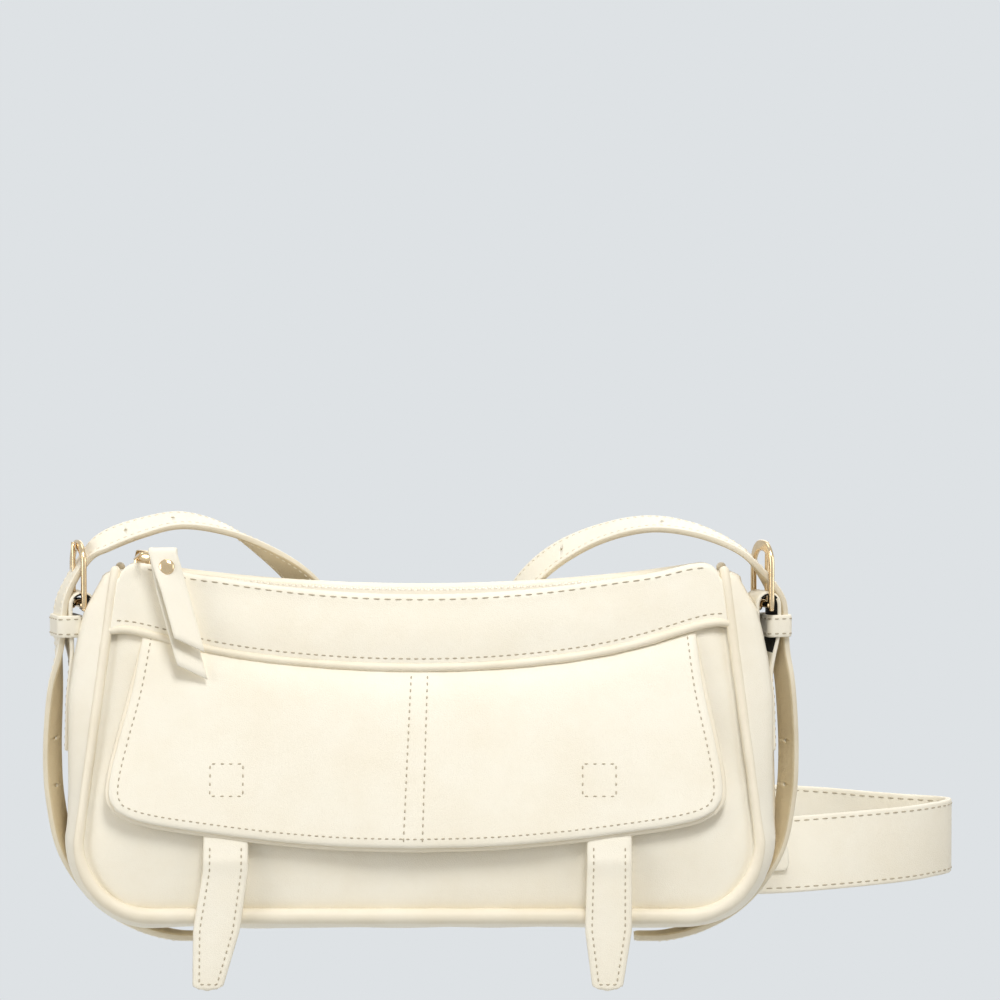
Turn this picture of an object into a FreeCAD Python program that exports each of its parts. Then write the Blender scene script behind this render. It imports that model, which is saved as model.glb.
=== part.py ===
import FreeCAD, Part
import math
import os

# A small leather shoulder bag with a zip top, a front flap with two hanging tongues
# and an adjustable strap on two buckles. Millimetres, +X to the wearer's right hand
# as the bag is seen from the front, -Y to the front, +Z up. The origin is the middle
# of the flat underside.

Vec = FreeCAD.Vector

# Bag body
HALF_DEPTH = 40.0          # front panel to the middle, at the base
TOP_HALF_DEPTH = 12.0      # the same at the top edge
PANEL_HEIGHT = 147.0       # top corners of the panels above the base
PANEL_HALF_LOW = 141.0     # half width at the lower corners
PANEL_HALF_TOP = 127.0     # half width at the top corners
CORNER_R = 30.0            # lower corners of the panels
SEAM_RISE = 5.0            # lower seam of the panels above the base
LEATHER = 2.0              # body leather
PIPING_R = 2.1             # corded welts
FLAT_HALF = 75.0           # half length of the flat part of the base
BASE_SLOPE_RISE = 1.2      # rise of the base from the flat part to the corners
BASE_MARGIN = 2.6          # base strip stops this far behind the panel face
SEAM_GAP = 0.1             # sewn edges, left open by this much
LINING = 0.8
BOARD_THICK = 2.2
BOARD_MARGIN = 6.0

# Gusset: lofted between these two places; bulge outside the seam line at parts of its height
GUSSET_FOOT = 1.0          # lowest section above the lower corners of the panels
GUSSET_TOP_DROP = 6.0      # highest section below the top corners
GUSSET_PARTS = 105         # parts that the height is divided into
GUSSET_BULGE = [(0, 0.5), (11, 6.5), (34, 9.0), (53, 11.0),
                (69, 9.5), (80, 7.5), (95, 4.5), (105, 3.5)]

# Yoke, the upper band of both panels
YOKE_DROP = 25.0           # lower edge of the yoke at the sides, below the top corners
YOKE_SAG = 18.0            # the same edge in the middle, below its sides
YOKE_EDGE_SIDE = PANEL_HEIGHT - YOKE_DROP
YOKE_EDGE_MID = YOKE_EDGE_SIDE - YOKE_SAG
YOKE_THICK = 2.0
YOKE_PIPING_R = 1.7
TOP_DIP = 10.5             # the top edge dips this much in the middle

# Zip
ZIP_END = 5.0              # teeth stop this far inside the top corners
ZIP_HALF = PANEL_HALF_TOP - ZIP_END
ZIP_DROP = 2.4             # tape below the top edge of the panels
TAPE_THICK = 0.9
TEETH_HALF_Y = 2.4
TEETH_HEIGHT = 1.8
TEETH_PITCH = 2.7
TEETH_NOTCH = 0.7
TEETH_GAP = 0.12
STOP_LENGTH = 4.0

# Zip slider and pull
SLIDER_LENGTH = 9.0
SLIDER_HALF_Y = 4.2
SLIDER_PLATE = 1.2
SLIDER_CLEAR = 0.35
SLIDER_IN = 7.0            # slider's place inside the zip's left end, at rest
SLIDER_START = ZIP_HALF - SLIDER_IN
BRIDGE_HEIGHT = 4.6
BRIDGE_WIRE = 1.3
LINK_WIRE_R = 0.8
LINK_HALF_X = 3.4
LINK_CLEAR = 0.35
TAB_STANDOFF = 8.4         # pull tab in front of the panel face
TAB_LEAN = 16.0            # degrees, the tab hangs out of plumb
TAB_WIDTH = 11.0
TAB_LEATHER = 1.3
TAB_FRONT_LENGTH = 38.0
TAB_BACK_LENGTH = 50.0
TAB_END_SLANT = 6.0
RIVET_R = 3.2
RIVET_HEAD = 0.9
RIVET_SHANK_R = 1.3
RIVET_DOWN = 6.0

# Front flap
FLAP_OPEN_TILT = 4.0       # degrees that the flap stands off the panel
FLAP_BAND = 10.0           # bending line of the flap below the middle of the yoke's edge
FLAP_HINGE_W = YOKE_EDGE_MID - FLAP_BAND
FLAP_HALF_TOP = 116.0
FLAP_HALF_LOW = 129.5
FLAP_SIDE_LOW = 57.0
FLAP_CORNER_W = 47.0       # middle of the rounded lower corners
FLAP_CORNER_U = 3.0        # the same, inside the widest place
FLAP_FOOT_W = 42.0         # inner ends of the rounded corners
FLAP_FOOT_U = 9.0
FLAP_BOTTOM_MID = 29.0
FLAP_LEATHER = 1.6
FLAP_LINING = 1.2
FLAP_LINING_INSET = 2.0
FLAP_CLEAR = 0.5
BEND_GAP = 1.0
MAGNET_R = 6.5
MAGNET_X = 60.0
MAGNET_W = 52.0
MAGNET_CLEAR = 0.1

# Tongues
TONGUE_X = 80.0
TONGUE_WIDTH = 19.0
TONGUE_THICK = 2.2
TONGUE_SEWN_TOP = 66.0     # top of the sewn square above the base
TONGUE_BEND = 21.0         # bending line of the tongues above the base
TONGUE_TAPER = -3.0        # taper starts here
TONGUE_TIP = -26.0
TONGUE_TIP_WIDTH = 12.0

# Buckles, chapes and keepers, for the end at +X
HEEL_OUT = 18.5            # heel bar outside the top corners of the panels
HEEL_DROP = 18.0           # heel bar below the top corners
HEEL_X = PANEL_HALF_TOP + HEEL_OUT
HEEL_Z = PANEL_HEIGHT - HEEL_DROP
HEEL_R = 1.4
BUCKLE_YAW = 18.0          # degrees
BUCKLE_HALF_Y = 10.8
BUCKLE_RISE = 27.0         # top of the buckle above its heel bar
BUCKLE_TOP = HEEL_Z + BUCKLE_RISE
BUCKLE_BAR = 4.4           # top arc, along Z
BUCKLE_LEG = 2.8
BUCKLE_THICK = 2.2
BUCKLE_CORNER = 6.0
PRONG_WIDTH = 2.4
PRONG_THICK = 1.7
PRONG_EYE_R = 2.4
PRONG_CLEAR = 0.06
PRONG_REST = 0.2
CHAPE_WIDTH = 13.0
CHAPE_LEATHER = 2.0
CHAPE_BORE = 3.9
CHAPE_JOIN = 21.0          # layers of the chape meet this far below the heel bar
CHAPE_LENGTH = 61.0        # lower end of the chape below the heel bar
CHAPE_LOOP = 13.0          # outer layer of the loop bends in this far below the heel bar
CHAPE_STACK = 3.2          # thickness where both layers are sewn down
CHAPE_SEAT = 0.15
CHAPE_SLOT = 5.0
KEEPER_DROP = 13.4         # lower edge of the keeper below the heel bar
KEEPER_WIDTH = 9.0
KEEPER_ROOM = 2.6          # free room inside the chape's loop for the keeper's inner wall
KEEPER_WALL = 1.4
KEEPER_CLEAR = 0.4
CHAPE_JOIN_Z = HEEL_Z - CHAPE_JOIN
CHAPE_LOW_Z = HEEL_Z - CHAPE_LENGTH
LOOP_LOW_Z = HEEL_Z - CHAPE_LOOP
KEEPER_LOW = HEEL_Z - KEEPER_DROP
KEEPER_HIGH = KEEPER_LOW + KEEPER_WIDTH

# Straps
STRAP_WIDTH = 13.0
STRAP_THICK = 2.6
STRAP_HOLE_R = 1.4
STRAP_SLOT = 5.0
WIDE_WIDTH = 33.0
WIDE_THICK = 3.0
LAP_GAP = 0.1              # straps where they are sewn together
STRAP_SEAT = 0.3           # strap on the chape
STRAP_X = HEEL_X + CHAPE_BORE + CHAPE_LEATHER + STRAP_SEAT + STRAP_THICK / 2
RING_INSET = 5.4           # strap's middle inside the heel bar, where it passes the buckle's top arc
RING_TOP_X = HEEL_X - RING_INSET
KEEPER_RUN = 8.0           # straight run of the strap below the keeper
HEEL_TURN = 2.5            # the strap turns in towards the buckle this far above its heel bar

LEAN = math.degrees(math.atan2(HALF_DEPTH - TOP_HALF_DEPTH, PANEL_HEIGHT))
COS_LEAN = math.cos(math.radians(LEAN))
TAN_LEAN = math.tan(math.radians(LEAN))


def line(a, b):
    return Part.LineSegment(a, b).toShape()


def arc(a, mid, b):
    return Part.Arc(a, mid, b).toShape()


def face_of(edges):
    return Part.Face(Part.Wire(edges))


def polygon_face(points):
    return Part.Face(Part.makePolygon(points + [points[0]]))


def upright(u, w, n=0.0):
    """Point of a panel drawing: u along X, w up the panel, n out of its face."""
    return Vec(u, -n, w)


def up_panel(z):
    """Distance up the leaning panel for a height above the base."""
    return z / COS_LEAN


def on_front(shape):
    """Lean a panel drawing back and set it at the front of the bag."""
    placed = shape.copy()
    placed.rotate(Vec(0, 0, 0), Vec(1, 0, 0), -LEAN)
    placed.translate(Vec(0, -HALF_DEPTH, 0))
    return placed


def to_back(shape):
    return shape.mirror(Vec(0, 0, 0), Vec(0, 1, 0))


def to_left(shape):
    return shape.mirror(Vec(0, 0, 0), Vec(1, 0, 0))


def seam_half(z):
    """Half width of the panels at a height on their straight sides."""
    share = (z - SEAM_RISE - CORNER_R) / (PANEL_HEIGHT - SEAM_RISE - CORNER_R)
    return PANEL_HALF_LOW + (PANEL_HALF_TOP - PANEL_HALF_LOW) * share


def corner_points(inset):
    """Corner arc of the panel outline at +X: start low, middle, end high, and top."""
    radius = CORNER_R - inset
    centre = (PANEL_HALF_LOW - CORNER_R, SEAM_RISE + CORNER_R)
    slope = math.atan2(PANEL_HALF_LOW - PANEL_HALF_TOP, PANEL_HEIGHT - centre[1])
    middle = (slope - math.pi / 2) / 2

    def on_arc(angle):
        return (centre[0] + radius * math.cos(angle), centre[1] + radius * math.sin(angle))
    end = on_arc(slope)
    top_w = up_panel(PANEL_HEIGHT)
    top = (end[0] - (top_w - end[1]) * math.tan(slope), top_w)
    return on_arc(-math.pi / 2), on_arc(middle), end, top


def outline_edges(inset, top=None):
    """U-shaped edge chain of a panel from its left top corner to its right one."""
    low, middle, end, corner = corner_points(inset)
    if top is not None:
        share = (top - end[1]) / (corner[1] - end[1])
        corner = (end[0] + (corner[0] - end[0]) * share, top)

    def right(p):
        return upright(p[0], p[1])

    def left(p):
        return upright(-p[0], p[1])
    chain = [line(left(corner), left(end)), arc(left(end), left(middle), left(low)),
             line(left(low), right(low)), arc(right(low), right(middle), right(end)),
             line(right(end), right(corner))]
    return chain, right(corner), left(corner)


def plate(face, low, high):
    """Plate of a panel drawing between two distances out of the panel's face."""
    raised = face.copy()
    raised.translate(Vec(0, -low, 0))
    return raised.extrude(Vec(0, low - high, 0))


def pipe(edges, radius):
    """Round tube along a chain of lines and arcs."""
    wire = Part.Wire(edges)
    start = wire.Edges[0]
    point = start.valueAt(start.FirstParameter)
    along = start.tangentAt(start.FirstParameter)
    circle = Part.Wire(Part.makeCircle(radius, point, along))
    return wire.makePipeShell([circle], True, False, 1)


def save(name, shape):
    solids = shape.Solids
    tidy = solids[0] if len(solids) == 1 else Part.makeCompound(solids)
    if not tidy.isValid():
        print("not valid:", name)
    tidy.exportStep("parts/" + name + ".step")
    print(name, len(solids), round(tidy.Volume, 1))
    return tidy


# Body of the bag

def make_piping():
    chain, _, _ = outline_edges(0.0)
    return on_front(pipe(chain, PIPING_R))


def make_panel(piping):
    """Full front panel up to the top edge, its rim cut back to the welt."""
    chain, right, left = outline_edges(0.0)
    top = arc(right, upright(0, up_panel(PANEL_HEIGHT) - TOP_DIP), left)
    panel = plate(face_of(chain + [top]), -LEATHER, 0.0)
    return on_front(panel).cut(piping)


def yoke_face(lower_side, lower_mid, inset):
    side_w = up_panel(lower_side)
    chain, right, left = outline_edges(inset)
    _, low_right, low_left = outline_edges(inset, top=side_w)
    top = arc(right, upright(0, up_panel(PANEL_HEIGHT) - TOP_DIP), left)
    lower = arc(low_left, upright(0, up_panel(lower_mid)), low_right)
    return face_of([lower, line(low_right, right), top, line(left, low_left)])


def make_yoke(piping, welt):
    face = yoke_face(YOKE_EDGE_SIDE, YOKE_EDGE_MID, 0.0)
    yoke = on_front(plate(face, SEAM_GAP, SEAM_GAP + YOKE_THICK)).cut(piping)
    return yoke.cut(welt) if welt else yoke


def make_yoke_piping(piping):
    side_w = up_panel(YOKE_EDGE_SIDE)
    _, right, left = outline_edges(PIPING_R + SEAM_GAP, top=side_w)
    n = SEAM_GAP + YOKE_PIPING_R
    curve = arc(Vec(left.x, -n, side_w), upright(0, up_panel(YOKE_EDGE_MID), n), Vec(right.x, -n, side_w))
    return on_front(pipe([curve], YOKE_PIPING_R)).cut(piping)


def between_panels(margin):
    """Space between the leaning panels, set in from their faces."""
    low = HALF_DEPTH - margin
    high = low - TAN_LEAN * PANEL_HEIGHT
    points = [Vec(0, -low, 0), Vec(0, low, 0), Vec(0, high, PANEL_HEIGHT), Vec(0, -high, PANEL_HEIGHT)]
    wedge = polygon_face(points).extrude(Vec(2.4 * PANEL_HALF_LOW, 0, 0))
    wedge.translate(Vec(-1.2 * PANEL_HALF_LOW, 0, 0))
    return wedge


def base_profile(inset):
    """Outline of the base strip: flat middle, gentle rise, round corners; inset inwards."""
    radius = CORNER_R + SEAM_RISE - BASE_SLOPE_RISE
    centre_z = BASE_SLOPE_RISE + radius
    centre_x = PANEL_HALF_LOW - radius
    reach = radius - inset
    turn = math.radians(45)
    corner_low = (centre_x, centre_z - reach)
    corner_mid = (centre_x + reach * math.sin(turn), centre_z - reach * math.cos(turn))
    corner_end = (centre_x + reach, centre_z)
    return (FLAT_HALF, inset), corner_low, corner_mid, corner_end


def make_base():
    def points(inset, sign):
        return [Vec(sign * x, 0, z) for x, z in base_profile(inset)]
    out_r = points(0.0, 1)
    out_l = points(0.0, -1)
    in_r = points(LEATHER, 1)
    in_l = points(LEATHER, -1)
    edges = [arc(out_l[3], out_l[2], out_l[1]), line(out_l[1], out_l[0]), line(out_l[0], out_r[0]),
             line(out_r[0], out_r[1]), arc(out_r[1], out_r[2], out_r[3]), line(out_r[3], in_r[3]),
             arc(in_r[3], in_r[2], in_r[1]), line(in_r[1], in_r[0]), line(in_r[0], in_l[0]),
             line(in_l[0], in_l[1]), arc(in_l[1], in_l[2], in_l[3]), line(in_l[3], out_l[3])]
    strip = face_of(edges).extrude(Vec(0, 2 * HALF_DEPTH, 0))
    strip.translate(Vec(0, -HALF_DEPTH, 0))
    return strip.common(between_panels(BASE_MARGIN))


def gusset_half_depth(z):
    return HALF_DEPTH - BASE_MARGIN - TAN_LEAN * z


def gusset_levels():
    """Heights of the gusset's sections above the base, each with its bulge."""
    low = SEAM_RISE + CORNER_R + GUSSET_FOOT
    high = PANEL_HEIGHT - GUSSET_TOP_DROP
    return [(low + (high - low) * part / GUSSET_PARTS, bulge) for part, bulge in GUSSET_BULGE]


def gusset_x(z):
    """Outermost X of the gusset's middle at a height, between the bulge sections."""
    levels = gusset_levels()
    for (z0, b0), (z1, b1) in zip(levels, levels[1:]):
        if z0 <= z <= z1:
            share = (z - z0) / (z1 - z0)
            x0 = seam_half(z0) + b0
            x1 = seam_half(z1) + b1
            return x0 + (x1 - x0) * share
    return seam_half(z)


def make_gusset():
    """End wall at +X: bowed leather, lofted through crescent sections."""
    sections = []
    for z, bulge in gusset_levels():
        x = seam_half(z)
        y = gusset_half_depth(z)
        outer = arc(Vec(x, -y, z), Vec(x + bulge, 0, z), Vec(x, y, z))
        inner = arc(Vec(x - LEATHER, y, z), Vec(x + bulge - LEATHER, 0, z), Vec(x - LEATHER, -y, z))
        sections.append(Part.Wire([outer, line(Vec(x, y, z), Vec(x - LEATHER, y, z)), inner,
                                   line(Vec(x - LEATHER, -y, z), Vec(x, -y, z))]))
    return Part.makeLoft(sections, True, True)


def make_board():
    """Stiff board on the floor of the bag."""
    half_x = PANEL_HALF_LOW - CORNER_R - BOARD_MARGIN
    half_y = HALF_DEPTH - BASE_MARGIN - BOARD_MARGIN
    board = Part.makeBox(2 * half_x, 2 * half_y, BOARD_THICK)
    board.translate(Vec(-half_x, -half_y, LEATHER + BASE_SLOPE_RISE))
    return board


def make_lining():
    """Lining on the inside of the front panel."""
    inset = LEATHER + PIPING_R + LINING
    side_w = up_panel(YOKE_EDGE_SIDE)
    chain, right, left = outline_edges(inset, top=side_w)
    face = face_of(chain + [line(right, left)])
    return on_front(plate(face, -LEATHER - SEAM_GAP - LINING, -LEATHER - SEAM_GAP))


POCKET_HALF = 70.0
POCKET_LOW = 40.0
POCKET_HIGH = 95.0
POCKET_ROOM = 1.0
POCKET_SEAM = 4.0


def make_inner_pocket():
    """Slip pocket sewn to the back lining along three sides, open at the top."""
    def rectangle(half, low, high):
        return polygon_face([upright(-half, low), upright(half, low),
                             upright(half, high), upright(-half, high)])
    skin = -LEATHER - 2 * SEAM_GAP - LINING
    outer = plate(rectangle(POCKET_HALF, POCKET_LOW, POCKET_HIGH), skin - POCKET_ROOM - LINING, skin)
    room = plate(rectangle(POCKET_HALF - POCKET_SEAM, POCKET_LOW + POCKET_SEAM, POCKET_HIGH + POCKET_SEAM),
                 skin - POCKET_ROOM, skin)
    return to_back(on_front(outer.cut(room)))


# Zip along the dipped top edge; its line is an arc about a centre high above the bag

ZIP_R = (PANEL_HALF_TOP ** 2 + TOP_DIP ** 2) / (2 * TOP_DIP)
ZIP_CENTRE = Vec(0, 0, PANEL_HEIGHT - TOP_DIP + ZIP_R)


def on_zip(x, drop):
    """Point at X below the zip's line by drop."""
    radius = ZIP_R + drop
    angle = math.asin(x / ZIP_R)
    return Vec(radius * math.sin(angle), 0, ZIP_CENTRE.z - radius * math.cos(angle))


def zip_band(half, high, low, y0, y1):
    """Band along the zip's arc between two drops, from y0 to y1."""
    face = face_of([arc(on_zip(-half, high), on_zip(0, high), on_zip(half, high)),
                    line(on_zip(half, high), on_zip(half, low)),
                    arc(on_zip(half, low), on_zip(0, low), on_zip(-half, low)),
                    line(on_zip(-half, low), on_zip(-half, high))])
    face.translate(Vec(0, y0, 0))
    return face.extrude(Vec(0, y1 - y0, 0))


def make_tape():
    """Front tape, from the teeth to the inside of the front panel."""
    band = zip_band(ZIP_HALF, ZIP_DROP, ZIP_DROP + TAPE_THICK, -HALF_DEPTH, -TEETH_HALF_Y - SEAM_GAP)
    return band.common(between_panels(LEATHER / COS_LEAN + SEAM_GAP))


def make_teeth():
    """Front row of teeth, one toothed strip along the arc."""
    count = int(2 * (ZIP_HALF - STOP_LENGTH) / TEETH_PITCH)
    half = count * TEETH_PITCH / 2
    top = ZIP_DROP + TAPE_THICK - TEETH_HEIGHT
    points = []
    for i in range(count):
        x = -half + i * TEETH_PITCH
        points += [on_zip(x, top), on_zip(x + TEETH_PITCH / 2, top),
                   on_zip(x + TEETH_PITCH / 2, top + TEETH_NOTCH), on_zip(x + TEETH_PITCH, top + TEETH_NOTCH)]
    low = ZIP_DROP + TAPE_THICK
    edges = [line(a, b) for a, b in zip(points, points[1:])]
    edges += [line(points[-1], on_zip(half, low)),
              arc(on_zip(half, low), on_zip(0, low), on_zip(-half, low)),
              line(on_zip(-half, low), points[0])]
    row = face_of(edges).extrude(Vec(0, TEETH_HALF_Y - TEETH_GAP, 0))
    row.translate(Vec(0, -TEETH_HALF_Y, 0))
    return row


def make_stops():
    """Metal stops across both tapes at the ends of the teeth."""
    top = ZIP_DROP + TAPE_THICK - TEETH_HEIGHT
    whole = zip_band(ZIP_HALF, top, ZIP_DROP + TAPE_THICK, -TEETH_HALF_Y, TEETH_HALF_Y)
    return whole.cut(zip_band(ZIP_HALF - STOP_LENGTH + SEAM_GAP, top - 1, ZIP_DROP + TAPE_THICK + 1,
                              -HALF_DEPTH, HALF_DEPTH))


SLIDER_TOP = on_zip(0, ZIP_DROP + TAPE_THICK - TEETH_HEIGHT - SLIDER_CLEAR - SLIDER_PLATE).z
BAR_Z = SLIDER_TOP + BRIDGE_HEIGHT - BRIDGE_WIRE - LINK_CLEAR - LINK_WIRE_R


def along_zip(shape, x):
    """Carry a shape from the middle of the zip to X along its arc."""
    moved = shape.copy()
    moved.rotate(ZIP_CENTRE, Vec(0, -1, 0), math.degrees(math.asin(x / ZIP_R)))
    return moved


def block(x0, x1, y0, y1, z0, z1):
    return Part.makeBox(x1 - x0, y1 - y0, z1 - z0, Vec(x0, y0, z0))


def make_slider():
    """Slider body: a channel over the teeth with the bridge that holds the link."""
    half = SLIDER_LENGTH / 2
    cheek = TEETH_HALF_Y + SLIDER_CLEAR
    low = on_zip(0, ZIP_DROP - SLIDER_CLEAR).z
    body = block(-half, half, -SLIDER_HALF_Y, SLIDER_HALF_Y, low, SLIDER_TOP)
    body = body.cut(block(-half, half, -cheek, cheek, low, SLIDER_TOP - SLIDER_PLATE))
    body = body.makeFillet(SLIDER_PLATE / 2, [e for e in body.Edges if upright_corner(e, half)])
    arch_y = LINK_WIRE_R + LINK_CLEAR + BRIDGE_WIRE
    bridge = block(-BRIDGE_WIRE, BRIDGE_WIRE, -arch_y, arch_y, SLIDER_TOP, SLIDER_TOP + BRIDGE_HEIGHT)
    gap = arch_y - BRIDGE_WIRE
    bridge = bridge.cut(block(-BRIDGE_WIRE, BRIDGE_WIRE, -gap, gap, SLIDER_TOP,
                              SLIDER_TOP + BRIDGE_HEIGHT - BRIDGE_WIRE))
    return along_zip(body.fuse(bridge).removeSplitter(), -SLIDER_START)


def upright_corner(edge, half):
    """True for the four upright outer edges of the slider."""
    ends = [v.Point for v in edge.Vertexes]
    at_corner = all(abs(abs(p.x) - half) < 0.01 and abs(abs(p.y) - SLIDER_HALF_Y) < 0.01 for p in ends)
    return at_corner and abs(ends[0].z - ends[1].z) > 0.5


def rod(a, b, radius):
    return Part.makeCylinder(radius, (b - a).Length, a, b - a)


def bar_at_slider():
    """Middle of the link's bar in the slider's bridge, at rest."""
    turn = FreeCAD.Rotation(Vec(0, -1, 0), -math.degrees(math.asin(SLIDER_START / ZIP_R)))
    return ZIP_CENTRE + turn.multVec(Vec(0, 0, BAR_Z) - ZIP_CENTRE)


TAB_BAR_RISE = 4.5         # link's front bar above its bar in the bridge
TAB_BAR_SHIFT = 6.5        # link's front bar to the right of the slider
LINK_SPREAD = 2.0          # extra reach of the front bar past the leather fold
FOLD_R = LINK_WIRE_R + LINK_CLEAR
TAB_BAR_N = TAB_STANDOFF + FOLD_R + TAB_LEATHER


def tab_bar():
    """Middle of the link's front bar, inside the leather fold."""
    bridge = bar_at_slider()
    z = bridge.z + TAB_BAR_RISE
    lean = math.radians(LEAN)
    w = (z - TAB_BAR_N * math.sin(lean)) / math.cos(lean)
    y = -HALF_DEPTH + w * math.sin(lean) - TAB_BAR_N * math.cos(lean)
    return Vec(bridge.x + TAB_BAR_SHIFT, y, z)


def make_link():
    """Wire loop from the slider's bridge to the leather fold."""
    near = bar_at_slider()
    far = tab_bar()
    reach = TAB_WIDTH / 2 + LINK_CLEAR + LINK_WIRE_R + LINK_SPREAD
    corners = [near + Vec(-LINK_HALF_X, 0, 0), near + Vec(LINK_HALF_X, 0, 0),
               far + Vec(reach, 0, 0), far + Vec(-reach, 0, 0)]
    sides = [rod(a, b, LINK_WIRE_R) for a, b in zip(corners, corners[1:] + corners[:1])]
    ended = [side.fuse(Part.makeSphere(LINK_WIRE_R, corner)) for side, corner in zip(sides, corners)]
    return ended[0].fuse(ended[1]).fuse(ended[2].fuse(ended[3]))


def hang_tab(shape):
    """Lean a tab drawing like the panel and hang it on the link's front bar."""
    placed = shape.copy()
    placed.rotate(Vec(0, 0, 0), Vec(1, 0, 0), -LEAN)
    placed.translate(tab_bar())
    return placed


def tab_layer(length, n0, n1):
    """Slanting strip that hangs from the bar, with an end cut on the slant."""
    half = TAB_WIDTH / 2
    slope = math.tan(math.radians(TAB_LEAN))
    low_l = -length
    low_r = -length - TAB_END_SLANT
    face = polygon_face([upright(-half, 0), upright(half, 0), upright(half - low_r * slope, low_r),
                         upright(-half - low_l * slope, low_l)])
    return plate(face, n0, n1)


def make_tab():
    """Leather strip folded over the link's bar and held by a rivet."""
    outer = FOLD_R + TAB_LEATHER
    fold = Part.makeCylinder(outer, TAB_WIDTH, Vec(-TAB_WIDTH / 2, 0, 0), Vec(1, 0, 0))
    fold = fold.cut(Part.makeCylinder(FOLD_R, TAB_WIDTH, Vec(-TAB_WIDTH / 2, 0, 0), Vec(1, 0, 0)))
    fold = fold.common(block(-TAB_WIDTH, TAB_WIDTH, -outer, outer, 0, outer))
    tab = fold.fuse(tab_layer(TAB_FRONT_LENGTH, FOLD_R, outer))
    tab = tab.fuse(tab_layer(TAB_BACK_LENGTH, -outer, -FOLD_R))
    hole = Part.makeCylinder(RIVET_SHANK_R, 4 * outer, rivet_spot() + Vec(0, 2 * outer, 0), Vec(0, -1, 0))
    return hang_tab(tab.cut(hole))


def rivet_spot():
    return upright(RIVET_DOWN * math.tan(math.radians(TAB_LEAN)), -RIVET_DOWN)


def make_rivet():
    """Rivet through both layers of the tab."""
    outer = FOLD_R + TAB_LEATHER
    spot = rivet_spot()
    shank = Part.makeCylinder(RIVET_SHANK_R, 2 * outer, spot + Vec(0, outer, 0), Vec(0, -1, 0))
    head = Part.makeCylinder(RIVET_R, RIVET_HEAD, spot + Vec(0, -outer, 0), Vec(0, -1, 0))
    tail = Part.makeCylinder(RIVET_R, RIVET_HEAD, spot + Vec(0, outer, 0), Vec(0, 1, 0))
    return hang_tab(shank.fuse(head).fuse(tail))


# Front flap, in a plane that stands off the panel towards its lower edge

YOKE_HALF = seam_half(YOKE_EDGE_SIDE)
FLAP_TOP_GAP = YOKE_PIPING_R + FLAP_CLEAR


def hang_flap(shape):
    """Set a flap drawing under the yoke's edge on the front of the bag."""
    placed = shape.copy()
    placed.rotate(Vec(0, -FLAP_CLEAR, up_panel(YOKE_EDGE_SIDE)), Vec(1, 0, 0), -FLAP_OPEN_TILT)
    placed.translate(Vec(0, -FLAP_CLEAR, 0))
    return on_front(placed)


def flap_top(u):
    """Top edge of the flap, just below the welt of the yoke."""
    share = (u / YOKE_HALF) ** 2
    return up_panel(YOKE_EDGE_MID + (YOKE_EDGE_SIDE - YOKE_EDGE_MID) * share) - FLAP_TOP_GAP


def flap_side(w):
    """Half width of the flap at a height on its straight sides."""
    top = flap_top(FLAP_HALF_TOP)
    share = (top - w) / (top - FLAP_SIDE_LOW)
    return FLAP_HALF_TOP + (FLAP_HALF_LOW - FLAP_HALF_TOP) * share


def flap_face(inset):
    """Swinging part of the flap below its bending line."""
    hinge = flap_side(FLAP_HINGE_W) - inset
    side = (FLAP_HALF_LOW - inset, FLAP_SIDE_LOW)
    corner = (FLAP_HALF_LOW - FLAP_CORNER_U - inset * 0.8, FLAP_CORNER_W + inset * 0.6)
    foot = (FLAP_HALF_LOW - FLAP_FOOT_U - inset * 0.3, FLAP_FOOT_W + inset)

    def right(p):
        return upright(p[0], p[1])

    def left(p):
        return upright(-p[0], p[1])
    top = (hinge, FLAP_HINGE_W)
    return face_of([line(left(top), right(top)), line(right(top), right(side)),
                    arc(right(side), right(corner), right(foot)),
                    arc(right(foot), upright(0, FLAP_BOTTOM_MID + inset), left(foot)),
                    arc(left(foot), left(corner), left(side)), line(left(side), left(top))])


def magnets(n0, n1, radius):
    pair = []
    for u in (-MAGNET_X, MAGNET_X):
        pair.append(Part.makeCylinder(radius, n1 - n0, upright(u, MAGNET_W, n0), Vec(0, -1, 0)))
    return Part.makeCompound(pair)


def make_flap():
    return hang_flap(plate(flap_face(0.0), FLAP_LINING, FLAP_LINING + FLAP_LEATHER))


def make_flap_lining():
    lining = plate(flap_face(FLAP_LINING_INSET), 0.0, FLAP_LINING)
    return hang_flap(lining.cut(magnets(0.0, FLAP_LINING, MAGNET_R + MAGNET_CLEAR)))


def make_flap_band():
    """Sewn upper part of the flap, between its bending line and the yoke's welt."""
    low = FLAP_HINGE_W + BEND_GAP
    half_low = flap_side(low)
    top = flap_top(FLAP_HALF_TOP)
    face = face_of([line(upright(-half_low, low), upright(half_low, low)),
                    line(upright(half_low, low), upright(FLAP_HALF_TOP, top)),
                    arc(upright(FLAP_HALF_TOP, top), upright(0, flap_top(0)), upright(-FLAP_HALF_TOP, top)),
                    line(upright(-FLAP_HALF_TOP, top), upright(-half_low, low))])
    return hang_flap(plate(face, 0.0, FLAP_LINING + FLAP_LEATHER))


def make_tongue_root(side):
    """Upper end of a tongue, sewn to the underside of the flap."""
    half = TONGUE_WIDTH / 2
    u = side * TONGUE_X
    low = TONGUE_BEND + BEND_GAP
    face = polygon_face([upright(u - half, low), upright(u + half, low), upright(u + half, TONGUE_SEWN_TOP),
                         upright(u - half, TONGUE_SEWN_TOP)])
    return hang_flap(plate(face, -TONGUE_THICK - SEAM_GAP, -SEAM_GAP))


def tongue_bend():
    """Bending line of the tongues, at the front face of their upper ends."""
    mark = hang_flap(Part.Vertex(upright(0, TONGUE_BEND, -SEAM_GAP)))
    return mark.Vertexes[0].Point


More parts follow.
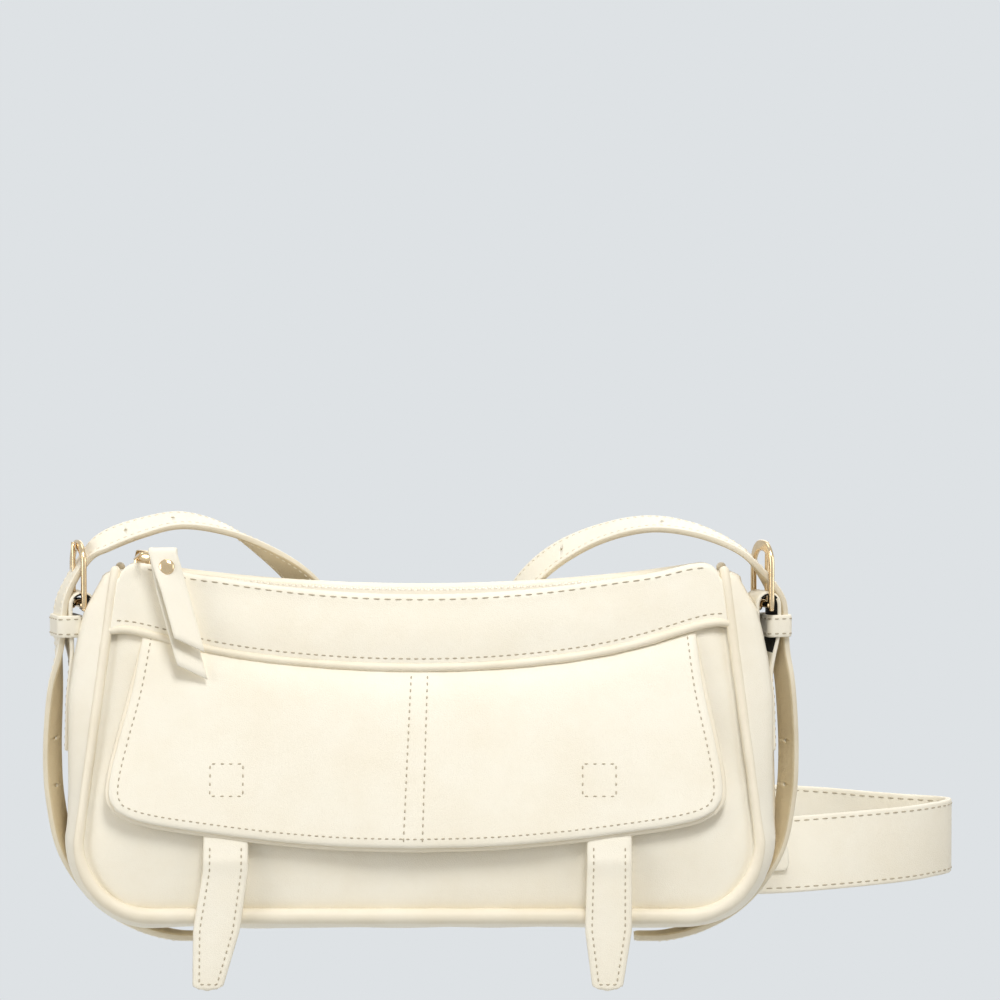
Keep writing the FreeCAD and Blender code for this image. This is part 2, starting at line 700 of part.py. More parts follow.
def make_tongue(side):
    """Hanging part of a tongue, plumb below the flap's edge, with a tapered end."""
    half = TONGUE_WIDTH / 2
    tip = TONGUE_TIP_WIDTH / 2
    bend = tongue_bend()
    face = polygon_face([Vec(-half, 0, bend.z), Vec(half, 0, bend.z), Vec(half, 0, TONGUE_TAPER),
                         Vec(tip, 0, TONGUE_TIP), Vec(-tip, 0, TONGUE_TIP), Vec(-half, 0, TONGUE_TAPER)])
    tongue = face.extrude(Vec(0, TONGUE_THICK, 0))
    tips = [e for e in tongue.Edges
            if all(abs(v.Z - TONGUE_TIP) < 0.01 for v in e.Vertexes) and abs(e.Length - TONGUE_THICK) < 0.01]
    tongue = tongue.makeFillet(TONGUE_TIP_WIDTH / 3, tips)
    tongue.translate(Vec(side * TONGUE_X, bend.y, 0))
    return tongue


# Buckles, chapes and keepers. Both ends are drawn for +X and mirrored for -X; the buckles
# and their prongs are turned the same way at both ends.

def turned(shape, side):
    """Turn a buckle piece about the upright through the middle of its heel bar."""
    placed = shape if side > 0 else to_left(shape)
    placed = placed.copy()
    placed.rotate(Vec(side * HEEL_X, 0, HEEL_Z), Vec(0, 0, 1), BUCKLE_YAW)
    return placed


def ring_face(half, low, high, corner):
    """Upright rounded opening in the buckle's plane, square at its lower end."""
    turn = corner * (1 - math.sqrt(0.5))

    def at(y, z):
        return Vec(HEEL_X, y, z)
    return face_of([line(at(-half, low), at(half, low)), line(at(half, low), at(half, high - corner)),
                    arc(at(half, high - corner), at(half - turn, high - turn), at(half - corner, high)),
                    line(at(half - corner, high), at(corner - half, high)),
                    arc(at(corner - half, high), at(turn - half, high - turn), at(-half, high - corner)),
                    line(at(-half, high - corner), at(-half, low))])


def make_buckle(side):
    low = HEEL_Z - HEEL_R - PRONG_REST
    inner = BUCKLE_HALF_Y - BUCKLE_LEG
    ring = ring_face(BUCKLE_HALF_Y, low, BUCKLE_TOP, BUCKLE_CORNER)
    hole = ring_face(inner, low - 1, BUCKLE_TOP - BUCKLE_BAR, BUCKLE_CORNER - BUCKLE_LEG)
    ring = ring.cut(hole).extrude(Vec(BUCKLE_THICK, 0, 0))
    ring.translate(Vec(-BUCKLE_THICK / 2, 0, 0))
    bar_end = inner + BUCKLE_LEG / 2
    heel = Part.makeCylinder(HEEL_R, 2 * bar_end, Vec(HEEL_X, -bar_end, HEEL_Z), Vec(0, 1, 0))
    return turned(ring.fuse(heel), side)


def make_prong(side):
    """Prong with an eye on the heel bar, its tip on the outer face of the top arc."""
    half = PRONG_WIDTH / 2
    eye = Part.makeCylinder(PRONG_EYE_R, PRONG_WIDTH, Vec(HEEL_X, -half, HEEL_Z), Vec(0, 1, 0))
    rest = HEEL_X + BUCKLE_THICK / 2 + PRONG_REST
    foot = HEEL_X + PRONG_EYE_R - PRONG_THICK
    top = BUCKLE_TOP - BUCKLE_BAR / 4
    shank = polygon_face([Vec(foot, -half, HEEL_Z), Vec(foot + PRONG_THICK, -half, HEEL_Z),
                          Vec(rest + PRONG_THICK, -half, top), Vec(rest, -half, top)])
    prong = eye.fuse(shank.extrude(Vec(0, PRONG_WIDTH, 0)))
    bore = Part.makeCylinder(HEEL_R + PRONG_CLEAR, PRONG_WIDTH, Vec(HEEL_X, -half, HEEL_Z), Vec(0, 1, 0))
    return turned(prong.cut(bore), side)


def make_chape():
    """Leather loop round the heel bar at +X, its ends sewn down the gusset."""
    heel = Vec(HEEL_X, 0, HEEL_Z)
    outer = CHAPE_BORE + CHAPE_LEATHER

    def seat(z, off):
        return Vec(gusset_x(z) + CHAPE_SEAT + off, 0, z)
    levels = [CHAPE_LOW_Z] + [z for z, _ in gusset_levels() if CHAPE_LOW_Z < z < CHAPE_JOIN_Z]
    inside = [seat(z, 0.0) for z in levels]
    outside = [seat(z, CHAPE_STACK) for z in reversed(levels)]
    top_in = heel + Vec(-outer, 0, 0)
    top_out = heel + Vec(outer, 0, 0)
    bend_out = Vec(HEEL_X + outer, 0, LOOP_LOW_Z - CHAPE_LEATHER / 2)
    edges = [line(a, b) for a, b in zip(inside, inside[1:])]
    edges += [line(inside[-1], top_in), arc(top_in, heel + Vec(0, 0, outer), top_out)]
    edges += [line(top_out, bend_out), line(bend_out, outside[0])]
    edges += [line(a, b) for a, b in zip(outside, outside[1:])]
    edges += [line(outside[-1], inside[0])]
    join = Vec(gusset_x(levels[-1]) + CHAPE_SEAT + CHAPE_LEATHER, 0, CHAPE_JOIN_Z)
    void_in = heel + Vec(-CHAPE_BORE, 0, 0)
    void_out = heel + Vec(CHAPE_BORE, 0, 0)
    bend_in = Vec(HEEL_X + CHAPE_BORE, 0, LOOP_LOW_Z)
    void = face_of([line(join, void_in), arc(void_in, heel + Vec(0, 0, CHAPE_BORE), void_out),
                    line(void_out, bend_in), line(bend_in, join)])
    chape = face_of(edges).cut(void).extrude(Vec(0, CHAPE_WIDTH, 0))
    chape.translate(Vec(0, -CHAPE_WIDTH / 2, 0))
    slot = block(HEEL_X - outer, HEEL_X + 2 * outer, -CHAPE_SLOT / 2, CHAPE_SLOT / 2,
                 HEEL_Z - PRONG_EYE_R - 1, HEEL_Z + 2 * outer)
    return chape.cut(slot)


def make_keeper():
    """Leather ring round the chape's outer layer and the strap, at +X."""
    x_in = HEEL_X + CHAPE_BORE - KEEPER_ROOM
    x_out = STRAP_X + STRAP_THICK / 2 + KEEPER_CLEAR
    y_in = STRAP_WIDTH / 2 + KEEPER_CLEAR
    outside = block(x_in - KEEPER_WALL, x_out + KEEPER_WALL, -y_in - KEEPER_WALL, y_in + KEEPER_WALL,
                    KEEPER_LOW, KEEPER_HIGH)
    return outside.cut(block(x_in, x_out, -y_in, y_in, KEEPER_LOW, KEEPER_HIGH))


# Straps: flat ribbons through stations, each a middle point and the way its width lies

WIDE_MID_Z = WIDE_WIDTH / 2
LAP_OFFSET = (WIDE_THICK + STRAP_THICK) / 2 + LAP_GAP
ACROSS = Vec(0, 1, 0)
UP = Vec(0, 0, 1)
DOWN = Vec(0, 0, -1)


def drawn(x, y, z):
    """Point of a strap's route, drawn on a bag 254 wide, 80 deep and 147 high, on this one."""
    return Vec(x * PANEL_HALF_TOP / 127, y * HALF_DEPTH / 40, z * PANEL_HEIGHT / 147)


def tail_stations(side, end_x):
    """Strap's free end: through the buckle and the keeper, down round the lower corner."""
    low = PANEL_HALF_LOW
    down = PANEL_HEIGHT / 147
    route = [(RING_TOP_X, BUCKLE_TOP - BUCKLE_BAR), (STRAP_X, HEEL_Z + HEEL_TURN),
             (STRAP_X, KEEPER_LOW - KEEPER_RUN), ((STRAP_X + low) / 2 + 8, 94 * down),
             (low + 15.8, 66 * down), (low + 14.9, 46 * down), (low + 9.4, 24 * down), (low - 4, 4 * down),
             (low - 21, -6.5 * down), (low - 37, -11 * down), (end_x * low / 141, -11.5 * down)]
    return [(Vec(side * x, 0, z), ACROSS) for x, z in route]


def wide_route():
    """Middle line of the wide strap seen from above: near strand, turn, far strand."""
    line_drawn = [(118, 52.6), (140, 53.6), (155, 56.2), (172, 63), (196, 75), (217, 87), (233, 99.5),
                  (241, 109), (242, 117), (236, 122), (217, 126.5), (199, 132.5), (181, 141.5), (160, 147),
                  (130, 151), (100, 152.6), (78, 153), (55, 153)]
    points = [drawn(x, y, 0) for x, y in line_drawn]
    return [(p.x, p.y) for p in points]


def lap_point(route, i, side):
    """Point on a face of the wide strap at station i, for the narrow strap that laps it."""
    a = route[max(i - 1, 0)]
    b = route[min(i + 1, len(route) - 1)]
    along = Vec(b[0] - a[0], b[1] - a[1], 0).normalize()
    normal = Vec(along.y, -along.x, 0) * side
    return Vec(route[i][0], route[i][1], WIDE_MID_Z) + normal * LAP_OFFSET


def right_stations():
    route = wide_route()
    arch = [(131.5, 0.5, 157.5, 0, 0.9, 0.43), (115, 2, 163, 0, 0.93, 0.37), (97, 4, 165, 0, 0.95, 0.32),
            (77, 10, 160.5, 0.1, 0.9, 0.42), (59, 16, 151, 0.2, 0.8, 0.55), (46, 24, 139, 0.3, 0.65, 0.67),
            (34, 34, 121, 0.5, 0.5, 0.67), (24, 45, 98, 0.8, 0.3, 0.45), (20, 54, 74, 0.95, 0, 0.25),
            (24, 59, 50, 0.9, 0, 0.45), (38, 58, 30, 0.6, 0, 0.8), (62, 53.5, 19, 0.2, 0, 0.98)]
    middle = [(drawn(x, y, z), Vec(a, b, c)) for x, y, z, a, b, c in arch]
    foot = drawn(92, 49.8, 0) + Vec(0, 0, WIDE_MID_Z)
    laps = [(lap_point(route, i, 1), UP) for i in range(3)]
    return list(reversed(tail_stations(1, 90))) + middle + [(foot, UP)] + laps


def left_stations():
    route = wide_route()
    arch = [(-131.5, 0.5, 157.5, 0, 0.9, 0.43), (-117, 1.5, 163, 0, 0.93, 0.37),
            (-101, 4, 165.5, 0, 0.95, 0.32), (-80, 11, 160.5, -0.1, 0.98, 0.1),
            (-62, 18, 151, -0.3, 0.9, -0.3), (-45, 26, 138, -0.6, 0.6, -0.55),
            (-29, 40, 116, -0.65, 0.3, -0.7), (-11, 62, 88, -0.6, 0.1, -0.8), (8, 90, 60, -0.5, 0, -0.87),
            (24, 120, 38, -0.35, 0, -0.94), (36, 146, 23, -0.15, 0, -0.99)]
    middle = [(drawn(x, y, z), Vec(a, b, c)) for x, y, z, a, b, c in arch]
    foot = drawn(47, 155.6, 0) + Vec(0, 0, WIDE_MID_Z + 1)
    last = len(route) - 1
    laps = [(lap_point(route, last - i, 1), DOWN) for i in range(3)]
    return list(reversed(tail_stations(-1, 93))) + middle + [(foot, DOWN)] + laps


def frames(stations):
    """Middle, width direction and face normal at each station of a ribbon."""
    out = []
    for i, (point, across) in enumerate(stations):
        ahead = stations[min(i + 1, len(stations) - 1)][0]
        behind = stations[max(i - 1, 0)][0]
        along = (ahead - behind).normalize()
        width = (across - along * across.dot(along)).normalize()
        out.append((point, width, along.cross(width)))
    return out


def ribbon(stations, width, thick):
    """Flat strap lofted through rectangles."""
    sections = []
    for point, across, normal in frames(stations):
        a = across * (width / 2)
        n = normal * (thick / 2)
        corners = [point - a - n, point + a - n, point + a + n, point - a + n]
        sections.append(Part.makePolygon(corners + [corners[0]]))
    return Part.makeLoft(sections, True, True)


HOLE_STATIONS = (2, 5, 12, 13, 14)


def make_strap(stations, side):
    """Narrow strap with punched holes, and a slot where the prong goes through."""
    strap = ribbon(stations, STRAP_WIDTH, STRAP_THICK)
    marks = frames(stations)
    for i in HOLE_STATIONS:
        point, _, normal = marks[i]
        start = point - normal * (2 * STRAP_THICK)
        strap = strap.cut(Part.makeCylinder(STRAP_HOLE_R, 4 * STRAP_THICK, start, normal))
    low = HEEL_Z + PRONG_EYE_R
    slot = block(HEEL_X - 2 * CHAPE_BORE, STRAP_X + STRAP_THICK, -STRAP_SLOT / 2, STRAP_SLOT / 2, low,
                 BUCKLE_TOP - 2 * BUCKLE_BAR)
    return strap.cut(slot if side > 0 else to_left(slot))


def make_wide_strap():
    stations = [(Vec(x, y, WIDE_MID_Z), UP) for x, y in wide_route()]
    return ribbon(stations, WIDE_WIDTH, WIDE_THICK)


def main():
    os.makedirs("parts", exist_ok=True)
    piping = make_piping()
    welt = make_yoke_piping(piping)
    panel = make_panel(piping)
    save("front_panel", panel)
    save("back_panel", to_back(panel))
    save("front_piping", piping)
    save("back_piping", to_back(piping))
    save("front_yoke", make_yoke(piping, welt))
    save("front_yoke_piping", welt)
    save("back_yoke", to_back(make_yoke(piping, None)))
    both = Part.makeCompound([piping, to_back(piping)])
    save("base_panel", make_base().cut(both))
    gusset = make_gusset().cut(both)
    save("right_gusset", gusset)
    save("left_gusset", to_left(gusset))
    save("base_board", make_board())
    lining = make_lining()
    save("front_lining", lining)
    save("back_lining", to_back(lining))
    save("inner_pocket", make_inner_pocket())
    tape = make_tape()
    save("front_zip_tape", tape)
    save("back_zip_tape", to_back(tape))
    teeth = make_teeth()
    save("front_zip_teeth", teeth)
    save("back_zip_teeth", to_back(teeth))
    save("zip_stops", make_stops())
    save("zip_slider", make_slider())
    save("pull_link", make_link())
    save("pull_tab", make_tab())
    save("pull_rivet", make_rivet())
    save("flap_band", make_flap_band())
    save("flap", make_flap())
    save("flap_lining", make_flap_lining())
    save("flap_magnets", hang_flap(magnets(0.0, FLAP_LINING, MAGNET_R)))
    roots = Part.makeCompound([make_tongue_root(-1), make_tongue_root(1)])
    save("tongue_roots", roots)
    chape = make_chape()
    keeper = make_keeper()
    for name, side, stations in (("left", -1, left_stations()), ("right", 1, right_stations())):
        save(name + "_tongue", make_tongue(side))
        save(name + "_chape", chape if side > 0 else to_left(chape))
        save(name + "_keeper", keeper if side > 0 else to_left(keeper))
        save(name + "_buckle", make_buckle(side))
        save(name + "_prong", make_prong(side))
        save(name + "_strap", make_strap(stations, side))
    save("wide_strap", make_wide_strap())
    bend = hang_flap(Part.Vertex(upright(0, FLAP_HINGE_W, FLAP_LINING + FLAP_LEATHER)))
    for name, place in (("zip centre", ZIP_CENTRE), ("link bar", bar_at_slider()), ("tab bar", tab_bar()),
                        ("tongue bend", tongue_bend()), ("flap bend", bend.Point)):
        print(name, [round(v, 3) for v in place])


main()
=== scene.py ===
# %% [markdown]
# # A cream baguette bag
# This file dresses a small shoulder bag. The construction model is loaded first and stays as it is:
# it says where every piece sits and what moves. Each cell below makes one piece of leather, cloth or
# metal on top of it, says what that piece is on the real bag, and why it is made the way it is.

# %% Load the construction model
import math

import bmesh
import bpy
import numpy as np
from mathutils import Matrix, Vector


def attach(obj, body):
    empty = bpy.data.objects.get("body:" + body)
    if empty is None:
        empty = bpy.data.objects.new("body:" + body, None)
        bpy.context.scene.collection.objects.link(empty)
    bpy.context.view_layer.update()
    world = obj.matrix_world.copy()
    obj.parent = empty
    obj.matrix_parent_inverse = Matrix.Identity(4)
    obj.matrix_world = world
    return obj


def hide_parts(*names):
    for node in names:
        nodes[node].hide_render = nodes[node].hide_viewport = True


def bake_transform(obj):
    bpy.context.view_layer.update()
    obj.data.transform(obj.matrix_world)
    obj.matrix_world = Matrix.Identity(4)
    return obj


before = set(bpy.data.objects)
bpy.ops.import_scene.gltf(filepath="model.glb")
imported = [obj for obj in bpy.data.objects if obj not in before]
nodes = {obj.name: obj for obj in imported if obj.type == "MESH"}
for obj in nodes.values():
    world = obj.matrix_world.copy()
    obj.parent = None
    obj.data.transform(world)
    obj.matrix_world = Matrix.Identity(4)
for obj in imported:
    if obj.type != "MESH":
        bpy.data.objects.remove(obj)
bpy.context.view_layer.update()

MM = 0.001
SIDES = (("left", -1), ("right", 1))

# %% [markdown]
# ## Sizes
# The bag is drawn in millimetres. Its two big panels lean back from the base to the zip, so most
# places are given as u along the bag, w up the leaning panel and n out of the panel's face. The
# values repeat the driving sizes of the construction model.

# %% Sizes of the bag
HALF_DEPTH = 40.0
PANEL_HEIGHT = 147.0
TOP_HALF_DEPTH = 12.0
HALF_LOW = 141.0
HALF_TOP = 127.0
CORNER_R = 30.0
SEAM_RISE = 3.6
PIPING_R = 2.1
YOKE_SIDE = 122.0
YOKE_MID = 104.0
TOP_DIP = 10.5
TOP_CORNER_R = 8.0
LEAN = math.atan2(HALF_DEPTH - TOP_HALF_DEPTH, PANEL_HEIGHT)
SIN_LEAN, COS_LEAN = math.sin(LEAN), math.cos(LEAN)
W_TOP = PANEL_HEIGHT / COS_LEAN
CORNER_U = HALF_LOW - CORNER_R
CORNER_W = SEAM_RISE + CORNER_R
SIDE_SLOPE = (HALF_LOW - HALF_TOP) / (PANEL_HEIGHT - CORNER_W)
print("panels lean back by", round(math.degrees(LEAN), 2), "degrees")


def front_point(u, w, n):
    """Points on the front panel, as rows of x, y, z in millimetres."""
    u, w, n = np.broadcast_arrays(np.asarray(u, float), np.asarray(w, float), np.asarray(n, float))
    y = -HALF_DEPTH + w * SIN_LEAN - n * COS_LEAN
    return np.stack([u, y, w * COS_LEAN + n * SIN_LEAN], axis=-1)


def mirrored(points, axis):
    """The same points on the other side of the bag."""
    flipped = np.array(points, float)
    flipped[..., axis] *= -1
    return flipped


def half_width(w):
    """Half width of the panel at w: the round lower corner, then the slanting side."""
    w = np.asarray(w, float)
    drop = np.clip(CORNER_W - w, 0, CORNER_R)
    return np.where(w < CORNER_W, CORNER_U + np.sqrt(np.maximum(CORNER_R ** 2 - drop ** 2, 0)),
                    HALF_LOW - SIDE_SLOPE * (w - CORNER_W))


def yoke_edge(u):
    """Lower edge of the yoke: a long dip that turns level close to the sides."""
    side = HALF_LOW - SIDE_SLOPE * (YOKE_SIDE - CORNER_W)
    share = (np.asarray(u, float) / side) ** 2
    rise = share + 2.0 * share ** 4 * (1 - share)
    end = np.where(np.asarray(u, float) < 0, YOKE_SIDE - 2.8, YOKE_SIDE)
    return (YOKE_MID + (end - YOKE_MID) * rise) / COS_LEAN


def top_edge(u):
    """Top edge of the bag: the zip's dip, rounded off at both ends."""
    u = np.abs(np.asarray(u, float))
    dip = W_TOP - TOP_DIP * (1 - (u / HALF_TOP) ** 2)
    into = np.clip(u - (HALF_TOP - TOP_CORNER_R), 0, TOP_CORNER_R)
    return dip - (TOP_CORNER_R - np.sqrt(TOP_CORNER_R ** 2 - into ** 2))

# %% [markdown]
# ## Mesh helpers
# Leather is a sheet with a thickness, so most pieces start as a grid of points and become a closed
# shell with a softly rounded rim. Straps, welts and wires are sections carried along a line. Both are
# written once here and used by every piece.

# %% Closed shells from grids
def add_object(name, data):
    """A new object in the scene that shows the data."""
    item = bpy.data.objects.new(name, data)
    bpy.context.scene.collection.objects.link(item)
    return item


def make_object(name, points, faces, material):
    """A mesh object in metres from millimetre points, with its faces turned outwards."""
    mesh = bpy.data.meshes.new(name)
    mesh.from_pydata((np.asarray(points).reshape(-1, 3) * MM).tolist(), [], faces)
    work = bmesh.new()
    work.from_mesh(mesh)
    bmesh.ops.recalc_face_normals(work, faces=work.faces)
    work.to_mesh(mesh)
    work.free()
    mesh.materials.append(material)
    for polygon in mesh.polygons:
        polygon.use_smooth = True
    return add_object(name, mesh)


def unit(vectors):
    """The same directions with length 1."""
    length = np.linalg.norm(vectors, axis=-1, keepdims=True)
    return vectors / np.maximum(length, 1e-9)


def grid_normals(grid):
    """Directions straight out of a grid, one at each of its points."""
    return unit(np.cross(np.gradient(grid, axis=1), np.gradient(grid, axis=0)))


def rim_loop(rows, columns):
    """Grid places round the edge of a grid, in order."""
    loop = [(0, j) for j in range(columns)]
    loop += [(i, columns - 1) for i in range(1, rows)]
    loop += [(rows - 1, j) for j in range(columns - 2, -1, -1)]
    return loop + [(i, 0) for i in range(rows - 2, 0, -1)]


RIM_SWELL = 0.35


def leather_sheet(name, grid, thickness, material, flip=False):
    """A closed sheet whose outer face is the grid; its rim is rounded by a middle ring."""
    grid = np.asarray(grid, float)
    rows, columns = grid.shape[:2]
    normals = grid_normals(grid) * (-1 if flip else 1)
    inner = grid - normals * thickness
    count = rows * columns
    points = [grid.reshape(-1, 3), inner.reshape(-1, 3)]
    faces = []
    for i in range(rows - 1):
        for j in range(columns - 1):
            a, b = i * columns + j, i * columns + j + 1
            faces.append((a, b, b + columns, a + columns))
            faces.append((count + a, count + a + columns, count + b + columns, count + b))
    loop = rim_loop(rows, columns)
    middle = []
    for i, j in loop:
        back = grid[min(max(i, 1), rows - 2), min(max(j, 1), columns - 2)]
        out = unit(grid[i, j] - back)
        middle.append((grid[i, j] + inner[i, j]) / 2 + out * thickness * RIM_SWELL)
    points.append(np.array(middle))
    total = len(loop)
    for k in range(total):
        (i, j), (m, p) = loop[k], loop[(k + 1) % total]
        a, b = i * columns + j, m * columns + p
        c, d = 2 * count + k, 2 * count + (k + 1) % total
        faces.append((a, b, d, c))
        faces.append((c, d, count + b, count + a))
    return make_object(name, np.concatenate(points), faces, material)


print("sheets swell at the rim by", RIM_SWELL, "of their thickness")


# %% Sections carried along lines
def swept(name, rings, material, closed=False):
    """A closed skin through rings of points; open runs are capped with a fan."""
    rings = np.asarray(rings, float)
    count, around = rings.shape[:2]
    points = [rings.reshape(-1, 3)]
    faces = []
    for i in range(count if closed else count - 1):
        a, b = i * around, ((i + 1) % count) * around
        for k in range(around):
            m = (k + 1) % around
            faces.append((a + k, a + m, b + m, b + k))
    if not closed:
        points.append(np.array([rings[0].mean(axis=0), rings[-1].mean(axis=0)]))
        first, last = count * around, count * around + 1
        for k in range(around):
            m = (k + 1) % around
            faces.append((first, m, k))
            faces.append((last, (count - 1) * around + k, (count - 1) * around + m))
    return make_object(name, np.concatenate(points), faces, material)


def turn_steps(count):
    """Even angles once round a section."""
    return np.linspace(0, 2 * math.pi, count, endpoint=False)


def blunt(values, power):
    """Sines made squarer by a power below 1, for sections with rounded corners."""
    return np.sign(values) * np.abs(values) ** power


def tube_rings(line, radius, around=12):
    """Round rings along a line of points, carried along without twisting."""
    line = np.asarray(line, float)
    along = unit(np.gradient(line, axis=0))
    side = np.cross(along[0], [0.3, 0.5, 0.8])
    angles = turn_steps(around)[:, None]
    rings = []
    for point, tangent in zip(line, along):
        side = unit(side - tangent * side.dot(tangent))
        other = np.cross(tangent, side)
        rings.append(point + radius * (np.cos(angles) * side + np.sin(angles) * other))
    return np.array(rings)


def smooth_line(points, count):
    """A soft curve through given points, resampled evenly along its length."""
    points = np.asarray(points, float)
    spans = np.linalg.norm(np.diff(points, axis=0), axis=1) ** 0.5
    knots = np.concatenate([[0], np.cumsum(spans)])
    slopes = np.gradient(points, knots, axis=0)
    fine = []
    for k in range(len(points) - 1):
        t = np.linspace(0, 1, 24, endpoint=False)[:, None]
        h = knots[k + 1] - knots[k]
        fine.append((2 * t ** 3 - 3 * t ** 2 + 1) * points[k] + (t ** 3 - 2 * t ** 2 + t) * h * slopes[k]
                    + (3 * t ** 2 - 2 * t ** 3) * points[k + 1] + (t ** 3 - t ** 2) * h * slopes[k + 1])
    fine = np.concatenate(fine + [points[-1:]])
    lengths = np.concatenate([[0], np.cumsum(np.linalg.norm(np.diff(fine[:, :3], axis=0), axis=1))])
    even = np.linspace(0, lengths[-1], count)
    return np.stack([np.interp(even, lengths, fine[:, k]) for k in range(fine.shape[1])], axis=1)


print("section helpers: swept, turn_steps, blunt, tube_rings, smooth_line")


# %% Soft steps and dents
def ramp(value, start, span):
    """0 up to start, then rising evenly to 1 over the span."""
    return np.clip((value - start) / span, 0, 1)


def ease(share):
    """A share from 0 to 1 that starts and stops softly."""
    return share * share * (3 - 2 * share)


def ripple(points, size, seed):
    """Smooth uneven values over points, for soft dents: a few slow waves added up."""
    random = np.random.default_rng(seed)
    value = np.zeros(np.asarray(points).shape[:-1])
    for _ in range(7):
        wave = random.normal(size=3)
        wave *= 2 * math.pi / (np.linalg.norm(wave) * size * random.uniform(0.7, 1.6))
        value += np.sin(np.asarray(points) @ wave + random.uniform(0, 2 * math.pi))
    return value / 3.5


print("halfway up a soft step:", ease(ramp(15.0, 10.0, 10.0)))

# %% [markdown]
# ## Finishes
# The leather is smooth and satin, with fine pores and a faint cloudy tone, so its grain is one shader
# group that every leather finish uses at its own scale. Metal, thread and cloth each get their own
# small recipe. All patterns sit on Object coordinates, because every piece is drawn in place.

# %% Colours and node helpers
def srgb(r, g, b):
    """A colour given as 0 to 255 screen values, as Blender's linear numbers."""
    def linear(value):
        value /= 255
        return value / 12.92 if value <= 0.04045 else ((value + 0.055) / 1.055) ** 2.4
    return (linear(r), linear(g), linear(b), 1.0)


def new_group(name, inputs, outputs):
    """An empty shader group with named sockets; returns it with its two ends."""
    group = bpy.data.node_groups.new(name, "ShaderNodeTree")
    for label, kind, value in inputs:
        socket = group.interface.new_socket(label, in_out="INPUT", socket_type=kind)
        socket.default_value = value
    for label, kind in outputs:
        group.interface.new_socket(label, in_out="OUTPUT", socket_type=kind)
    return group, group.nodes.new("NodeGroupInput"), group.nodes.new("NodeGroupOutput")


def set_inputs(tree, node, inputs):
    """Give each input a value, or join it to another node's output."""
    for key, value in inputs.items():
        if isinstance(value, bpy.types.NodeSocket):
            tree.links.new(value, node.inputs[key])
        else:
            node.inputs[key].default_value = value


def add_node(tree, kind, inputs=None, **settings):
    """A new node with its settings and inputs."""
    node = tree.nodes.new(kind)
    for key, value in settings.items():
        setattr(node, key, value)
    set_inputs(tree, node, inputs or {})
    return node


print("screen white is", srgb(255, 255, 255))


# %% Grain and weave, shared by the finishes
def grain_group():
    """Pores, slow clouds and fine creases of smooth leather."""
    group, start, end = new_group(
        "leather_grain",
        [("Pore Scale", "NodeSocketFloat", 1300.0), ("Cloud Scale", "NodeSocketFloat", 28.0)],
        [("Height", "NodeSocketFloat"), ("Cloud", "NodeSocketFloat"), ("Gloss", "NodeSocketFloat")])
    place = add_node(group, "ShaderNodeTexCoord").outputs["Object"]
    pores = add_node(group, "ShaderNodeTexVoronoi", {"Vector": place, "Scale": start.outputs["Pore Scale"]},
                     feature="DISTANCE_TO_EDGE")
    shallow = add_node(group, "ShaderNodeMapRange", {"Value": pores.outputs["Distance"], "From Max": 0.22})
    cloud = add_node(group, "ShaderNodeTexNoise", {
        "Vector": place, "Scale": start.outputs["Cloud Scale"], "Detail": 5.0, "Roughness": 0.62})
    spread = add_node(group, "ShaderNodeMapRange", {
        "Value": cloud.outputs["Fac"], "From Min": 0.38, "From Max": 0.70})
    crease = add_node(group, "ShaderNodeTexNoise", {
        "Vector": place, "Scale": 240.0, "Detail": 6.0, "Distortion": 0.8}).outputs["Fac"]
    height = add_node(group, "ShaderNodeMath", {0: crease, 1: 1.4, 2: shallow.outputs["Result"]},
                      operation="MULTIPLY_ADD")
    gloss = add_node(group, "ShaderNodeMapRange", {"Value": crease, "To Min": 0.40, "To Max": 0.56})
    set_inputs(group, end, {"Height": height.outputs["Value"], "Cloud": spread.outputs["Result"],
                            "Gloss": gloss.outputs["Result"]})
    return group


def weave_group():
    """Crossing threads of a plain weave."""
    group, start, end = new_group(
        "plain_weave", [("Thread Scale", "NodeSocketFloat", 900.0)],
        [("Height", "NodeSocketFloat"), ("Shade", "NodeSocketFloat")])
    place = add_node(group, "ShaderNodeTexCoord").outputs["Object"]
    bands = []
    for direction in ("X", "Z"):
        wave = add_node(group, "ShaderNodeTexWave", {
            "Vector": place, "Scale": start.outputs["Thread Scale"], "Distortion": 0.4},
            bands_direction=direction, wave_profile="SIN")
        bands.append(wave.outputs["Fac"])
    both = add_node(group, "ShaderNodeMath", {0: bands[0], 1: bands[1]}, operation="MULTIPLY")
    set_inputs(group, end, {"Height": both.outputs["Value"], "Shade": bands[0]})
    return group


GRAIN = grain_group()
WEAVE = weave_group()
print("shader groups:", GRAIN.name, WEAVE.name)


# %% Recipes for leather, cloth, metal and thread
def new_material(name):
    """An empty finish, its node tree and its surface shader."""
    material = bpy.data.materials.new(name)
    material.use_nodes = True
    tree = material.node_tree
    return material, tree, tree.nodes["Principled BSDF"]


def add_bump(tree, height, strength, distance):
    """Normals roughened by a height pattern."""
    bump = add_node(tree, "ShaderNodeBump", {"Height": height, "Strength": strength, "Distance": distance})
    return bump.outputs["Normal"]


def add_mix(tree, factor, low, high):
    """A colour between two, chosen by a pattern."""
    return add_node(tree, "ShaderNodeMix", {0: factor, 6: low, 7: high}, data_type="RGBA").outputs[2]


def leather(name, light, deep, pore=1300.0, bump=0.22, rough=None):
    """Smooth leather: cloudy colour, fine pores and an uneven satin gloss."""
    material, tree, shader = new_material(name)
    grain = add_node(tree, "ShaderNodeGroup", node_tree=GRAIN)
    grain.inputs["Pore Scale"].default_value = pore
    set_inputs(tree, shader, {
        "Base Color": add_mix(tree, grain.outputs["Cloud"], light, deep),
        "Roughness": grain.outputs["Gloss"] if rough is None else rough,
        "Specular IOR Level": 0.42,
        "Normal": add_bump(tree, grain.outputs["Height"], bump, 0.00025)})
    return material


